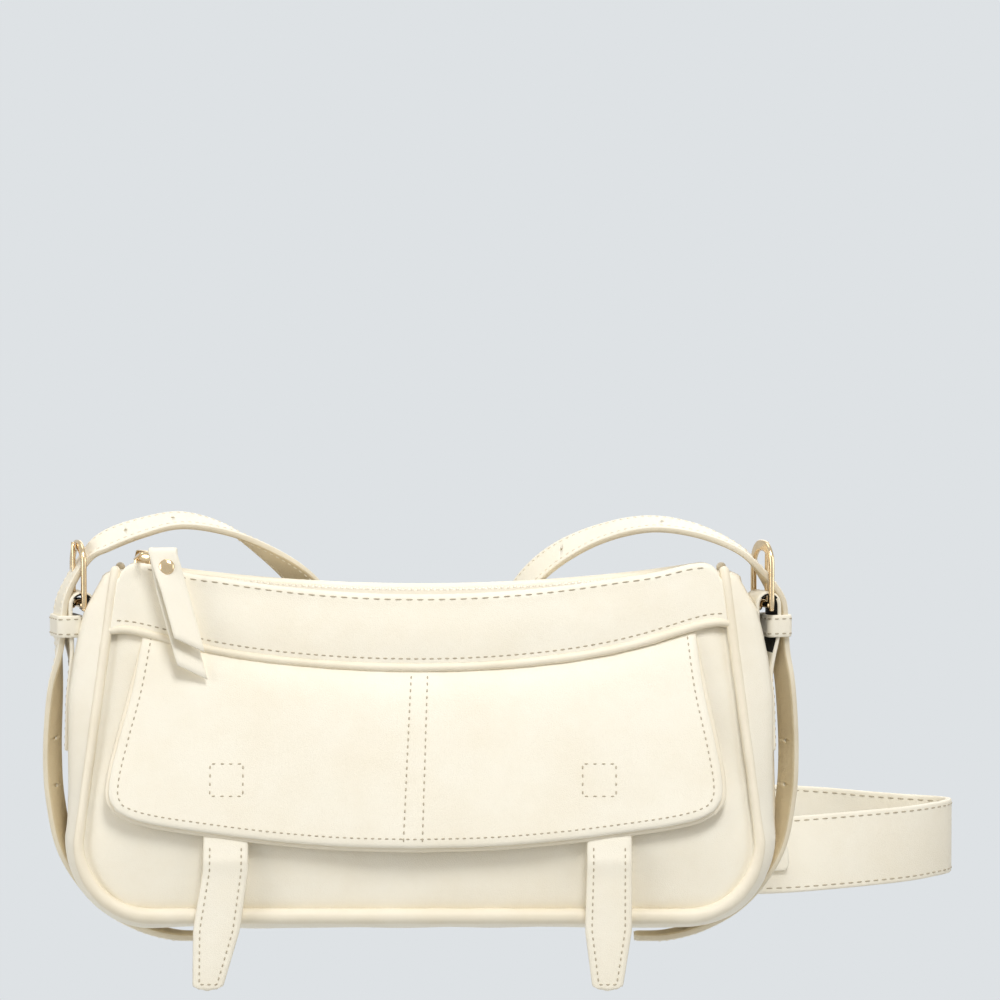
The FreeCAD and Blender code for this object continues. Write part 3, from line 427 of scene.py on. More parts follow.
def cloth(name, light, deep, threads):
    """Woven cloth with crossing threads."""
    material, tree, shader = new_material(name)
    weave = add_node(tree, "ShaderNodeGroup", node_tree=WEAVE)
    weave.inputs["Thread Scale"].default_value = threads
    set_inputs(tree, shader, {
        "Base Color": add_mix(tree, weave.outputs["Shade"], light, deep),
        "Roughness": 0.82,
        "Normal": add_bump(tree, weave.outputs["Height"], 0.5, 0.0002)})
    return material


def metal(name, light, deep, rough):
    """Polished plating with a cloudy tone and an uneven gloss."""
    material, tree, shader = new_material(name)
    place = add_node(tree, "ShaderNodeTexCoord").outputs["Object"]
    cloud = add_node(tree, "ShaderNodeTexNoise", {
        "Vector": place, "Scale": 420.0, "Detail": 4.0}).outputs["Fac"]
    gloss = add_node(tree, "ShaderNodeMapRange", {
        "Value": cloud, "To Min": rough * 0.7, "To Max": rough * 1.4})
    set_inputs(tree, shader, {
        "Base Color": add_mix(tree, cloud, light, deep),
        "Metallic": 1.0,
        "Roughness": gloss.outputs["Result"],
        "Normal": add_bump(tree, cloud, 0.05, 0.0001)})
    return material


def thread(name, light, deep):
    """Twisted sewing thread: a fine slanted ripple on each stitch."""
    material, tree, shader = new_material(name)
    place = add_node(tree, "ShaderNodeTexCoord").outputs["Object"]
    twist = add_node(tree, "ShaderNodeTexWave", {"Vector": place, "Scale": 1800.0},
                     bands_direction="DIAGONAL").outputs["Fac"]
    set_inputs(tree, shader, {
        "Base Color": add_mix(tree, twist, light, deep),
        "Roughness": 0.6,
        "Normal": add_bump(tree, twist, 0.3, 0.0001)})
    return material


print("recipes: leather, cloth, metal, thread")

# %% Finishes of this bag
CREAM = leather("cream_leather", srgb(249, 243, 227), srgb(245, 237, 218))
WELT = leather("welt_leather", srgb(246, 237, 217), srgb(238, 227, 203), pore=1700.0, bump=0.15)
RAW_EDGE = leather("painted_edge", srgb(236, 226, 203), srgb(226, 213, 187),
                   pore=2200.0, bump=0.3, rough=0.5)
TAN_BACK = leather("strap_backing", srgb(220, 204, 171), srgb(206, 189, 155),
                   pore=900.0, bump=0.35, rough=0.7)
# Black finish for the chape's inside faces, the ones that look into its loop.
LOOP_BLACK = leather("chape_loop_black", srgb(26, 25, 20), srgb(16, 15, 12), pore=900.0, bump=0.3, rough=0.75)
LINING = cloth("lining_cloth", srgb(214, 204, 184), srgb(196, 184, 161), 700.0)
TAPE = cloth("zip_tape", srgb(240, 232, 214), srgb(226, 216, 195), 1100.0)
NYLON = leather("zip_nylon", srgb(247, 240, 224), srgb(240, 231, 212), pore=3000.0, bump=0.05, rough=0.3)
GOLD = metal("pale_gold", srgb(232, 209, 172), srgb(212, 184, 142), 0.16)
THREAD = thread("stitch_thread", srgb(208, 196, 172), srgb(160, 148, 124))
TONAL = thread("tonal_thread", srgb(244, 236, 217), srgb(234, 224, 202))
BOARD = leather("base_board_fibre", srgb(126, 117, 104), srgb(104, 95, 83), pore=500.0, bump=0.3, rough=0.8)
STEEL = metal("magnet_plating", srgb(170, 170, 172), srgb(140, 140, 144), 0.3)
print("finishes:", len(bpy.data.materials))

# %% [markdown]
# ## Camera, light and stage
# The bag is seen from the front and a little above, with a long lens, low in the frame.
# The light is soft and even, from above and in front. The backdrop colour is what the camera sees of
# the world; the floor lies below the bag and fades out, so it takes the shadow without a hard edge.

# %% Camera
CAMERA_PLACE = (0.0335, -1.84, 0.2727)
CAMERA_PITCH = math.radians(3.11)
CAMERA_LENS = 158.0

camera_data = bpy.data.cameras.new("camera")
camera_data.lens = CAMERA_LENS
camera_data.sensor_width = 36.0
camera = add_object("camera", camera_data)
camera.location = CAMERA_PLACE
camera.rotation_euler = (math.pi / 2 - CAMERA_PITCH, 0, 0)
bpy.context.scene.camera = camera
bpy.context.scene.view_settings.view_transform = "Standard"
print("camera lens", round(CAMERA_LENS), "mm")


# %% World and lamps
def set_world(backdrop, light, strength, slope):
    """The camera and mirrors see the backdrop; all else gets soft light, more from above than below."""
    world = bpy.data.worlds.new("studio")
    bpy.context.scene.world = world
    world.use_nodes = True
    tree = world.node_tree
    shown = tree.nodes["Background"]
    shown.inputs["Color"].default_value = backdrop
    towards = add_node(tree, "ShaderNodeNewGeometry").outputs["Incoming"]
    split = add_node(tree, "ShaderNodeSeparateXYZ", {0: towards})
    level = add_node(tree, "ShaderNodeMath", {0: split.outputs["Z"], 1: -slope, 2: strength},
                     operation="MULTIPLY_ADD")
    lighting = add_node(tree, "ShaderNodeBackground", {"Color": light, "Strength": level.outputs["Value"]})
    path = add_node(tree, "ShaderNodeLightPath")
    seen = path.outputs["Is Camera Ray"]
    for kind in ("Is Glossy Ray", "Is Transmission Ray"):
        either = add_node(tree, "ShaderNodeMath", {0: seen, 1: path.outputs[kind]}, operation="MAXIMUM")
        seen = either.outputs["Value"]
    mix = add_node(tree, "ShaderNodeMixShader", {
        "Fac": seen, 1: lighting.outputs["Background"], 2: shown.outputs["Background"]})
    tree.links.new(mix.outputs["Shader"], tree.nodes["World Output"].inputs["Surface"])


def add_lamp(name, place, target, size, power, colour=(1, 1, 1)):
    """A round soft lamp aimed at a target."""
    data = bpy.data.lights.new(name, "AREA")
    data.shape = "DISK"
    data.size = size
    data.energy = power
    data.color = colour
    lamp = add_object(name, data)
    lamp.location = place
    aim = Vector(target) - Vector(place)
    lamp.rotation_euler = aim.to_track_quat("-Z", "Y").to_euler()


BAG_MIDDLE = (0.0, 0.0, 0.08)
set_world(srgb(222, 226, 229), (1.0, 0.955, 0.87, 1.0), 0.29, 0.17)
add_lamp("key_lamp", (0.3, -1.2, 1.65), BAG_MIDDLE, 0.7, 22.0, (0.98, 0.99, 1.0))
add_lamp("left_lamp", (-1.5, -0.8, 0.5), BAG_MIDDLE, 1.2, 11.0)
add_lamp("right_lamp", (1.5, -0.7, 0.5), BAG_MIDDLE, 1.2, 6.0)
add_lamp("top_lamp", (0.0, 0.3, 1.6), BAG_MIDDLE, 1.0, 4.0)
add_lamp("back_lamp", (0.3, 1.6, 0.9), BAG_MIDDLE, 1.4, 5.0)
print("lamps aimed at", BAG_MIDDLE)

# %% Floor
FLOOR_Z = -0.40
FLOOR_R = 1.15


def make_floor():
    """A pale round floor below the bag that fades out towards its rim."""
    material, tree, shader = new_material("pale_floor")
    place = add_node(tree, "ShaderNodeTexCoord").outputs["Object"]
    reach = add_node(tree, "ShaderNodeVectorMath", {0: place}, operation="LENGTH")
    fade = add_node(tree, "ShaderNodeMapRange", {
        "Value": reach.outputs["Value"], "From Min": FLOOR_R * 0.45, "From Max": FLOOR_R * 0.95,
        "To Min": 1.0, "To Max": 0.0}, interpolation_type="SMOOTHSTEP")
    set_inputs(tree, shader, {
        "Base Color": srgb(226, 229, 231), "Roughness": 0.9, "Alpha": fade.outputs["Result"]})
    work = bmesh.new()
    bmesh.ops.create_circle(work, cap_ends=True, segments=96, radius=FLOOR_R)
    mesh = bpy.data.meshes.new("floor")
    work.to_mesh(mesh)
    work.free()
    mesh.transform(Matrix.Translation((0, 0, FLOOR_Z)))
    mesh.materials.append(material)
    floor = add_object("floor", mesh)


make_floor()
print("floor", -FLOOR_Z, "m below the bag")

# %% [markdown]
# ## Body: panels, yokes and welts
# Two shaped panels make the front and back. They are slightly bellied and are pulled in towards the
# welt, where the sewing holds them. A grid of points in panel coordinates gives full control of that,
# so each panel is a sheet whose height over the flat pattern is worked out point by point.

# %% Front and back panels
def base_in(w):
    """How far the body draws in towards the base, where the filling pulls the leather under."""
    return 2.0 * (1 - ease(ramp(np.asarray(w, float), SEAM_RISE, 33)))


def panel_height(u, w, seed):
    """Height of the panel leather over its flat pattern."""
    edge = np.minimum(half_width(w) - np.abs(u), w - SEAM_RISE)
    inside = np.maximum(edge, 0)
    tuck = -3.8 * np.exp(-inside / 2.4) - 1.2 * np.exp(-inside / 9.0)
    belly = 6.0 * np.exp(-((w - 45) / 19) ** 2) * np.clip(1 - (u / 139) ** 4, 0, 1)
    dents = ripple(np.stack([u, w, np.full_like(u, seed)], axis=-1), 46.0, seed)
    return tuck + belly - base_in(w) + 0.45 * dents * np.clip(edge / 12, 0, 1)


PANEL_HEM = 2.6
CORNER_ROWS_W = 38.0
UNDER_YOKE = 10.0


def panel_grid(seed):
    """Rows up the panel, closer together round the lower corners, with side edges turned into the welt."""
    corner = CORNER_W - CORNER_R * np.cos(np.linspace(0, math.pi / 2, 16))
    up = np.concatenate([corner, np.linspace(CORNER_ROWS_W, YOKE_MID, 30)])
    even = np.linspace(-1, 1, 101)
    across = np.sin(even * math.pi / 2) * 0.35 + even * 0.65
    w = np.repeat(up[:, None], len(across), axis=1)
    u = across * (half_width(w) - PANEL_HEM)
    room = ramp(w, CORNER_ROWS_W, YOKE_MID - CORNER_ROWS_W)
    w = w + room * (yoke_edge(u) + UNDER_YOKE - YOKE_MID)
    u = across * (half_width(w) - PANEL_HEM)
    n = panel_height(u, w, seed)
    upright = ramp(w[:, :1], SEAM_RISE, CORNER_R) ** 2
    hem_u = half_width(w) - PANEL_HEM + 0.9 * upright
    hem_n = n + upright * (-1.0 - base_in(w) - n)
    u = np.concatenate([-hem_u[:, :1], u, hem_u[:, -1:]], axis=1)
    n = np.concatenate([hem_n[:, :1], n, hem_n[:, -1:]], axis=1)
    w = np.concatenate([w[:, :1], w, w[:, -1:]], axis=1)
    return front_point(u, w, n)


front_panel = leather_sheet("front_panel_leather", panel_grid(3), 1.6, CREAM)
back_panel = leather_sheet("back_panel_leather", mirrored(panel_grid(8), 1), 1.6, CREAM, flip=True)
for piece, node in ((front_panel, "front_panel"), (back_panel, "back_panel")):
    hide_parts(node)
    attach(piece, "root")
print("panels:", len(front_panel.data.polygons), "faces each")


# %% Yokes with a turned top edge
YOKE_DIP = 2.6
DIP_HALF = 84.0
FULL_CORNER = 1.8
FOLD_R = 2.2


def dip_share(u):
    """Where the top edge sags most: 1 in the middle of the bag, 0 from DIP_HALF on."""
    return np.clip(1 - (u / DIP_HALF) ** 2, 0, 1)


def yoke_top(u, dip, full=FULL_CORNER):
    """Turned edge of the yoke: a full round corner at each end and a dip in the middle."""
    u = np.abs(np.asarray(u, float))
    edge = W_TOP - TOP_DIP * (1 - (u / HALF_TOP) ** 2) + full * np.exp(-((u - 114) / 12) ** 2)
    into = np.clip(u - (HALF_TOP - 9.6), 0, 7.9)
    corner = TOP_CORNER_R - np.sqrt(TOP_CORNER_R ** 2 - into ** 2)
    return edge - corner - dip * dip_share(u)


def yoke_grid(seed, dip, low=0.0, full=FULL_CORNER):
    """Up the outside of the yoke, over its turned edge and down the inside."""
    even = np.linspace(-1, 1, 141)
    across = 0.75 * np.sin(even * math.pi / 2) + 0.25 * even
    u = across * (half_width(yoke_edge(0) + 14) - PIPING_R - 0.2)

    def height(u, t):
        foot = yoke_edge(u) + low
        return foot + t * (yoke_top(u, dip, full) - FOLD_R - foot)

    rows = []
    for t in np.linspace(0, 1, 15):
        wide = across * (half_width(height(u, t)) - PIPING_R * 0.75)
        w = height(wide, t)
        swell = 0.9 * math.sin(math.pi * min(t + 0.1, 1)) * (1 - np.abs(across) ** 4)
        dents = 0.25 * ripple(np.stack([wide, w, np.full_like(w, seed)], axis=-1), 38.0, seed)
        rows.append(front_point(wide, w, 2.1 + swell + dents * (1 - np.abs(across) ** 6)))
    wide = across * (half_width(top_edge(u)) - PIPING_R * 0.75)
    top = yoke_top(wide, dip, full)
    for angle in np.linspace(0, math.pi, 9)[1:]:
        w = top - FOLD_R + FOLD_R * math.sin(angle)
        rows.append(front_point(wide, w, -0.1 + FOLD_R * math.cos(angle)))
    rows.append(front_point(wide, top - 7.0, np.full_like(wide, -2.3)))
    return np.array(rows)


front_yoke = leather_sheet("front_yoke_leather", yoke_grid(5, YOKE_DIP), 1.3, CREAM)
back_yoke = leather_sheet("back_yoke_leather", mirrored(yoke_grid(6, 0.0, low=-1.0, full=0.2), 1), 1.3,
                          CREAM, flip=True)
for piece, node in ((front_yoke, "front_yoke"), (back_yoke, "back_yoke")):
    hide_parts(node)
    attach(piece, "root")
print("yokes made")


# %% Corded welts round the panels and under the yoke
def seam_line(top):
    """The U-shaped seam from the left top corner round the base to the right one."""
    side_w = np.linspace(top, CORNER_W, 46)
    angle = np.linspace(0, math.pi / 2, 22)[1:]
    corner = np.stack([CORNER_U + CORNER_R * np.cos(angle), CORNER_W - CORNER_R * np.sin(angle)], axis=-1)
    right = np.concatenate([np.stack([half_width(side_w), side_w], axis=-1), corner])
    left = right * [-1, 1]
    base = np.stack([np.linspace(-CORNER_U, CORNER_U, 60)[1:-1], np.full(58, SEAM_RISE)], axis=-1)
    return np.concatenate([left, base, right[::-1]])


def near_base(z):
    """1 at the floor of the bag, easing to 0 a third of the way up."""
    return np.clip(1 - z / 45, 0, 1) ** 1.5


def welt(line, radius, seed, fuller=0.0):
    """A cord in a leather sleeve: round, a little uneven, and fuller where it turns under the base."""
    rings = tube_rings(line, radius)
    middle = line[:, None, :]
    size = 1 + 0.05 * ripple(rings, 9.0, seed) + fuller * near_base(line[:, None, 2])
    rings = middle + (rings - middle) * size[..., None]
    ends = []
    for ring, onward in ((rings[0], line[0] - line[1]), (rings[-1], line[-1] - line[-2])):
        centre = ring.mean(axis=0)
        ends.append([centre + unit(onward) * radius * math.sin(a) + (ring - centre) * math.cos(a)
                     for a in np.radians([25, 50, 70, 84])])
    return np.concatenate([ends[0][::-1], rings, ends[1]])


seam = seam_line(W_TOP - 3.2)
seam_depth = 0.2 - 0.9 * ramp(seam[:, 1], W_TOP - 9.0, 5.0) ** 2 - base_in(seam[:, 1])
seam_points = front_point(seam[:, 0], seam[:, 1], seam_depth)
low = near_base(seam_points[:, 2])
seam_points[:, 2] -= low
seam_points[:, 1] += 0.9 * low
front_welt = swept("front_welt", welt(seam_points, PIPING_R, 11, 0.62), WELT)
back_welt = swept("back_welt", welt(mirrored(seam_points, 1), PIPING_R, 12, 0.62), WELT)
u_line = np.linspace(-1, 1, 121) * (half_width(YOKE_SIDE) - 0.8)
tucked = 1.6 * ramp(np.abs(u_line), 123, 5) ** 2
yoke_points = front_point(u_line, yoke_edge(u_line) - 0.3, 1.9 - tucked)
yoke_welt = swept("yoke_welt", welt(yoke_points, 1.75, 13), WELT)
for piece, node in ((front_welt, "front_piping"), (back_welt, "back_piping"),
                    (yoke_welt, "front_yoke_piping")):
    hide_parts(node)
    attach(piece, "root")
print("welts made")

# %% [markdown]
# ## Gussets and base
# One band of leather runs down one end, under the bag and up the other. It bows out between the two
# seams and has soft upright folds at the ends. It is a loft: a bowed section is carried along the seam,
# and the amount of bow is read from a short table of heights.

# %% Side and base band
BULGE = [(0, 7.2), (12, 6.6), (36, 6.0), (47, 6.7), (70, 9.0), (89, 10.8), (105, 9.4), (116, 7.4),
         (131, 4.6), (141, 3.4), (147, 1.6)]
LOBE_Z = [40, 70, 100, 118, 126, 134, 142]
LOBE_OUT = [0.0, 2.2, 4.2, 5.2, 5.3, 2.8, 0.2]
BAND_TOP = W_TOP - 7.5
BAND_TURN = [(0.6, 1.0), (1.6, 1.7), (2.2, 1.7), (2.4, 0.9), (2.0, -0.6), (3.0, -1.6), (5.0, -2.4)]


def band_grid():
    """Sections across the bag at every seam point, bowed outwards."""
    line = seam_line(BAND_TOP)
    along = unit(np.gradient(line, axis=0))
    outward = np.stack([along[:, 1], -along[:, 0]], axis=-1)
    heights, bows = zip(*BULGE)
    across = np.sin(np.linspace(-math.pi / 2, math.pi / 2, 33))
    rows = []
    for (u, w), (out_x, out_z) in zip(line, outward):
        z = w * COS_LEAN
        upright = ramp(z, 18, 30)
        bow = np.interp(z, heights, bows) + (2.2 if u > 0 else 1.3) * ramp(z, 20, 25)
        shape = (1 - np.abs(across) ** 7) * (1 - upright) + (1 - across ** 2) ** 0.85 * upright
        fold = -3.4 * np.sin(across * 5.2) ** 2 * (1 - across ** 2) * ramp(z, 25, 40)
        lobe = np.interp(z, LOBE_Z, LOBE_OUT) * np.exp(-((np.abs(across) - 0.6) / 0.26) ** 2)
        reach = bow * shape + (fold + lobe) * upright - 0.2 - 0.7 * np.abs(across) ** 4
        depth = HALF_DEPTH - w * SIN_LEAN - 0.6 - base_in(w)
        rows.append(np.stack([u + out_x * reach, across * depth, z + out_z * reach], axis=-1))
    for over_x, over_z in BAND_TURN:
        rows.insert(0, rows[0] * [1, 0.97, 1] + [over_x, 0, 0])
        rows.append(rows[-1] * [1, 0.97, 1] - [over_x, 0, 0])
        rows[0][:, 2] = BAND_TOP * COS_LEAN + over_z
        rows[-1][:, 2] = BAND_TOP * COS_LEAN + over_z
    grid = np.array(rows)
    grid += 0.5 * ripple(grid, 44.0, 31)[..., None] * [0, 0, 1] * (1 - np.abs(across) ** 4)[None, :, None]
    return grid


band = leather_sheet("gusset_and_base_band", band_grid(), 1.5, CREAM, flip=True)
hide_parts("base_panel", "left_gusset", "right_gusset")
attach(band, "root")
print("band:", len(band.data.polygons), "faces")

# %% [markdown]
# ## Front flap
# The flap is sewn under the yoke's welt and hangs over the panel, a little away from it at the bottom.
# It has two layers: the outer leather and a lining that shows as a second line under its lower edge.
# Its outline is four curves, and the grid between them is filled like a patch. The flap bends at the
# top instead of turning on a pin.

# %% Flap, outer layer and lining
FLAP_HALF_TOP = 114.5
FLAP_TILT = math.tan(math.radians(4.6))
FLAP_TOP_W = YOKE_SIDE / COS_LEAN
FLAP_LOW_EDGE = [(118, 42.8), (108, 40.2), (90, 37.4), (60, 33.6), (30, 31.2), (0, 30.4)]
FLAP_BEND_W = (101.0, 88.0)


def flap_lift(w):
    """How far the flap's underside stands off the panel at w."""
    return 0.5 + (FLAP_TOP_W - w) * FLAP_TILT


def patch(top, bottom, left, right):
    """Grid between four edge lines that share their corners."""
    rows, columns = len(left), len(top)
    t = np.linspace(0, 1, rows)[:, None, None]
    s = np.linspace(0, 1, columns)[None, :, None]
    sides = (1 - t) * top[None] + t * bottom[None] + (1 - s) * left[:, None] + s * right[:, None]
    corners = (1 - t) * ((1 - s) * top[0] + s * top[-1]) + t * ((1 - s) * bottom[0] + s * bottom[-1])
    return sides - corners


def flap_pattern(grow):
    """Flat outline of the flap as a grid of u, w; grow lowers and widens the free edge."""
    u = np.linspace(-FLAP_HALF_TOP, FLAP_HALF_TOP, 121)
    top = np.stack([u, yoke_edge(u) - 1.2], axis=-1)
    corner = (123.3 + 0.7 * grow, 45.6 - 0.7 * grow)
    side = [(FLAP_HALF_TOP, top[-1, 1]), (118.0 + grow, 97), (123.0 + grow, 75), (126.2 + grow, 58),
            (126.0 + grow, 50.5 - 0.5 * grow), corner]
    side = smooth_line(side, 46)
    low = [corner] + [(u, w - grow) for u, w in FLAP_LOW_EDGE]
    low = smooth_line(low, 61)
    bottom = np.concatenate([low * [-1, 1], low[-2::-1]])
    grid = patch(top, bottom, side * [-1, 1], side)
    return grid - np.linspace(0, 1.4, len(side))[:, None, None] * [1, 0]


def flap_grid(grow, out, seed):
    """Pattern set on the bag, with a slight swell and soft dents."""
    flat = flap_pattern(grow)
    u, w = flat[..., 0], flat[..., 1]
    down = np.linspace(0, 1, flat.shape[0])[:, None]
    swell = 1.2 * np.sin(math.pi * down) * (1 - (u / 134) ** 2)
    roll = -0.5 * ramp(down, 0.95, 0.05) ** 2
    side = np.abs(u[:, -1:])
    side_roll = -0.5 * ramp(np.abs(u), 0.97 * side, 0.03 * side) ** 2
    dents = 0.5 * ripple(np.stack([u, w, np.zeros_like(u)], axis=-1), 52.0, seed) * down
    tuck = -(flap_lift(yoke_edge(u)) + 2.4) * np.exp(-down * 14)
    return front_point(u, w, flap_lift(w) + out + swell + roll + side_roll + dents + tuck)


def bend_flap(piece):
    """Bake the piece's place into its mesh; the two ends of the bend are worked out but not used."""
    start, end = [front_point(0.0, w, flap_lift(w)) * MM for w in FLAP_BEND_W]
    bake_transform(piece)


FLAP_OUT = 2.8
flap_outer = leather_sheet("flap_leather", flap_grid(0.0, FLAP_OUT, 21), 1.5, CREAM, flip=True)
flap_inner = leather_sheet("flap_lining_leather", flap_grid(1.6, FLAP_OUT - 1.75, 21), 1.0, WELT, flip=True)
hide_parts("flap", "flap_band")
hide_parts("flap_lining")
for piece in (flap_outer, flap_inner):
    bend_flap(piece)
print("flap:", len(flap_outer.data.polygons), "faces")

# %% [markdown]
# ## Tongues
# Two leather tongues are sewn under the flap and hang below the bag, wide and straight and then
# tapered to a rounded tip. Each is one strip from its sewn end to its tip. The left one hangs a little
# to the side, as in the photograph.

# %% Hanging tongues
TONGUE_FRONT_Y = -43.5
TONGUE_BEND_Z = 22.3
TONGUE_TIP_Z = -26.2


def tongue_half(z):
    """Half width down the tongue: straight, then a taper with a rounded tip."""
    half = np.interp(z, [-24.0, -3.0, 0.0, 24.0], [5.9, 8.9, 9.0, 8.7])
    near = ramp(z, TONGUE_TIP_Z, 2.2)
    return half - 2.1 * (1 - np.sqrt(1 - (1 - near) ** 2))


def tongue_line():
    """Middle line of the front face, as y and z, from the sewn end to the tip."""
    w = np.linspace(62, 25, 14)
    sewn = front_point(np.zeros(14), w, flap_lift(w) - 0.15)
    swing = ((0.2, 19.0), (1.2, 10.0), (3.0, -6.0), (4.2, -17.0), (5.0, TONGUE_TIP_Z))
    hang = [(TONGUE_FRONT_Y - out, z) for out, z in swing]
    return np.concatenate([sewn[:, 1:], hang])


def tongue_grid(middle_x, drift, inset=0.0):
    """Front face of a tongue, slightly crowned; drift moves its tip to the side."""
    across = np.linspace(-1, 1, 15)
    rows = []
    for y, z in smooth_line(tongue_line(), 90):
        x = middle_x + drift * np.clip((TONGUE_BEND_Z - z) / 48, 0, 1) + across * (tongue_half(z) - inset)
        rows.append(np.stack([x, y - 0.35 * (1 - across ** 2), np.full(15, z)], axis=-1))
    return np.array(rows)


TONGUES = {"left": (-79.6, -7.2), "right": (78.6, -0.8)}


def bend_tongue(piece):
    """Bake the piece's place into its mesh."""
    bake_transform(piece)


for side, (middle_x, drift) in TONGUES.items():
    tongue = leather_sheet(side + "_tongue_leather", tongue_grid(middle_x, drift), 2.1, CREAM, flip=True)
    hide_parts(side + "_tongue", "tongue_roots")
    bend_tongue(tongue)
print("tongues made")

# %% [markdown]
# ## Straps
# The narrow straps are flat leather strips, cream outside and tan inside. Each comes up through its
# buckle, arches over the zip and goes down behind the bag to the wide shoulder strap; the free tail
# goes through the keeper and under the bag. They are flat straps, so each is modelled directly: a
# softly rounded section is carried along a smooth curve through a few listed points, and every
# point also says which way the strap's width lies.

# %% Strap routes
HEEL_X, HEEL_Z = 143.8, 129.0
END_YAW = math.radians(20.0)
TAIL_TURN = {-1: ([-12, 4, 24, 88, 104, 118], [-6, -14, -22, -22, 0, 20]),
             1: ([-12, 4, 24, 94, 118], [8, 18, 28, 28, 20])}
TAIL_RISE = [(-49, -11), (-34, -6.6), (-18, 3.8), (-4.4, 24), (0.8, 46), (2.0, 66), (0.6, 94),
             (-1.0, 107.6), (-1.7, 120), (-3.0, 131.5)]
STRAP_X = 153.0
STRAP_WIDTH, STRAP_THICK = 13.0, 2.9
WIDE_WIDTH, WIDE_THICK = 33.0, 2.8
WIDE_MID_Z = 16.5


def tail_route(side, end_x, top_z):
    """Free end: under the bag, up the end, through the keeper to the top of the buckle."""
    route = [(end_x, -11.5)] + [(STRAP_X + out, z) for out, z in TAIL_RISE] + [(HEEL_X - 5.0, top_z)]
    places = []
    for x, z in route:
        turn = math.radians(0.0 if z == top_z else np.interp(z, *TAIL_TURN[side]))
        off = x - HEEL_X if z > 100 else 0.0
        rise = 0.5 if z == top_z and side < 0 else 0.0
        places.append((side * x, side * off * math.sin(turn), z, -math.sin(turn), math.cos(turn), rise))
    return places


RIGHT_ARCH = [(131.5, 0.5, 153.2, 0, 1, 0.08), (115, 2, 160, 0, 0.97, 0.24), (97, 4, 162.4, 0, 0.93, 0.33),
              (77, 10, 158.2, -0.05, 0.9, 0.45), (59, 16, 149.4, -0.2, 0.8, 0.6),
              (46, 24, 138, -0.2, 0.7, 0.7), (34, 34, 121, 0.2, 0.6, 0.75), (24, 45, 98, 0.8, 0.3, 0.45),
              (20, 54, 74, 0.95, 0, 0.25), (24, 59, 50, 0.9, 0, 0.45), (38, 58, 30, 0.6, 0, 0.8),
              (62, 53.5, 19, 0.2, 0, 0.98), (92, 49.8, WIDE_MID_Z, 0, 0, 1),
              (118, 50.0, WIDE_MID_Z - 2, 0, 0.4, 1), (140, 50.9, WIDE_MID_Z - 2, 0, 0.35, 1),
              (158.5, 54.2, WIDE_MID_Z - 1.5, 0, 0.3, 1)]
LEFT_ARCH = [(-131.5, 0.5, 155.6, 0, 0.84, 0.62), (-117, 1.5, 161.0, 0, 0.87, 0.52),
             (-101, 4, 164, 0, 0.93, 0.36), (-82, 11, 159.5, -0.1, 0.98, 0.1),
             (-66, 18, 150, -0.3, 0.9, -0.3), (-51, 26, 137, -0.6, 0.6, -0.55),
             (-36, 40, 115, -0.65, 0.3, -0.7), (-16, 62, 88, -0.6, 0.1, -0.8),
             (8, 90, 60, -0.5, 0, -0.87), (24, 120, 38, -0.35, 0, -0.94), (36, 146, 23, -0.15, 0, -0.99),
             (47, 155.6, WIDE_MID_Z + 1, 0, 0, -1), (56, 155.9, WIDE_MID_Z, 0, 0, -1),
             (78, 155.9, WIDE_MID_Z, 0, 0, -1), (100, 155.5, WIDE_MID_Z, 0, 0, -1)]
WIDE_ROUTE = [(118, 52.6), (140, 53.6), (155, 56.2), (172, 63), (195, 75), (214, 87), (227, 99.5),
              (233, 109), (234, 117), (229, 122), (213, 126.5), (198, 132.5), (181, 141.5), (160, 147),
              (130, 151), (100, 152.6), (78, 153), (55, 153)]
print("strap routes:", len(RIGHT_ARCH), len(LEFT_ARCH), len(WIDE_ROUTE), "points")


# %% Sections along a strap
def strap_frames(route, count):
    """Middle, direction, width and outward normal at even steps along a strap."""
    line = smooth_line(route, count)
    middle = line[:, :3]
    along = unit(np.gradient(middle, axis=0))
    width = line[:, 3:] - along * np.sum(line[:, 3:] * along, axis=1, keepdims=True)
    width = unit(width)
    return middle, along, width, np.cross(along, width)


def strap_rings(parts, width, thick, round_end=0.0):
    """Soft rectangular sections; the ends may be rounded in plan."""
    middle, _, across, normal = parts
    half, deep = width / 2, thick / 2
    section = [(-half, 0.0), (-half + 0.12, 0.68 * deep), (-half + 0.5, 0.94 * deep), (-half + 1.3, deep)]
    section += [(0.0, deep)] + [(-a, b) for a, b in reversed(section)]
    section += [(-a, -b) for a, b in section[1:-1]]
    section = np.array(section)
    steps = np.concatenate([[0], np.cumsum(np.linalg.norm(np.diff(middle, axis=0), axis=1))])
    rings = []
    for k in range(len(middle)):
        near = min(steps[k], steps[-1] - steps[k])
        narrow = 1.0
        if round_end and near < round_end:
            narrow = 1 - round_end / half * (1 - math.sqrt(1 - (1 - near / round_end) ** 2))
        rings.append(middle[k] + section[:, :1] * narrow * across[k] + section[:, 1:] * normal[k])
    return np.array(rings)


def paint_side(piece, around, keep, slot, last=None):
    """Give a further finish to the section faces in keep, up to the ring called last."""
    for index, polygon in enumerate(piece.data.polygons):
        if index % around in keep and (last is None or index // around < last):
            polygon.material_index = slot


print("strap section:", STRAP_WIDTH, "by", STRAP_THICK, "mm")

# %% Narrow straps, punched holes and the wide strap
RING = 16
STRAP_EDGES = {15, 0, 7, 8}
STRAPS = {}


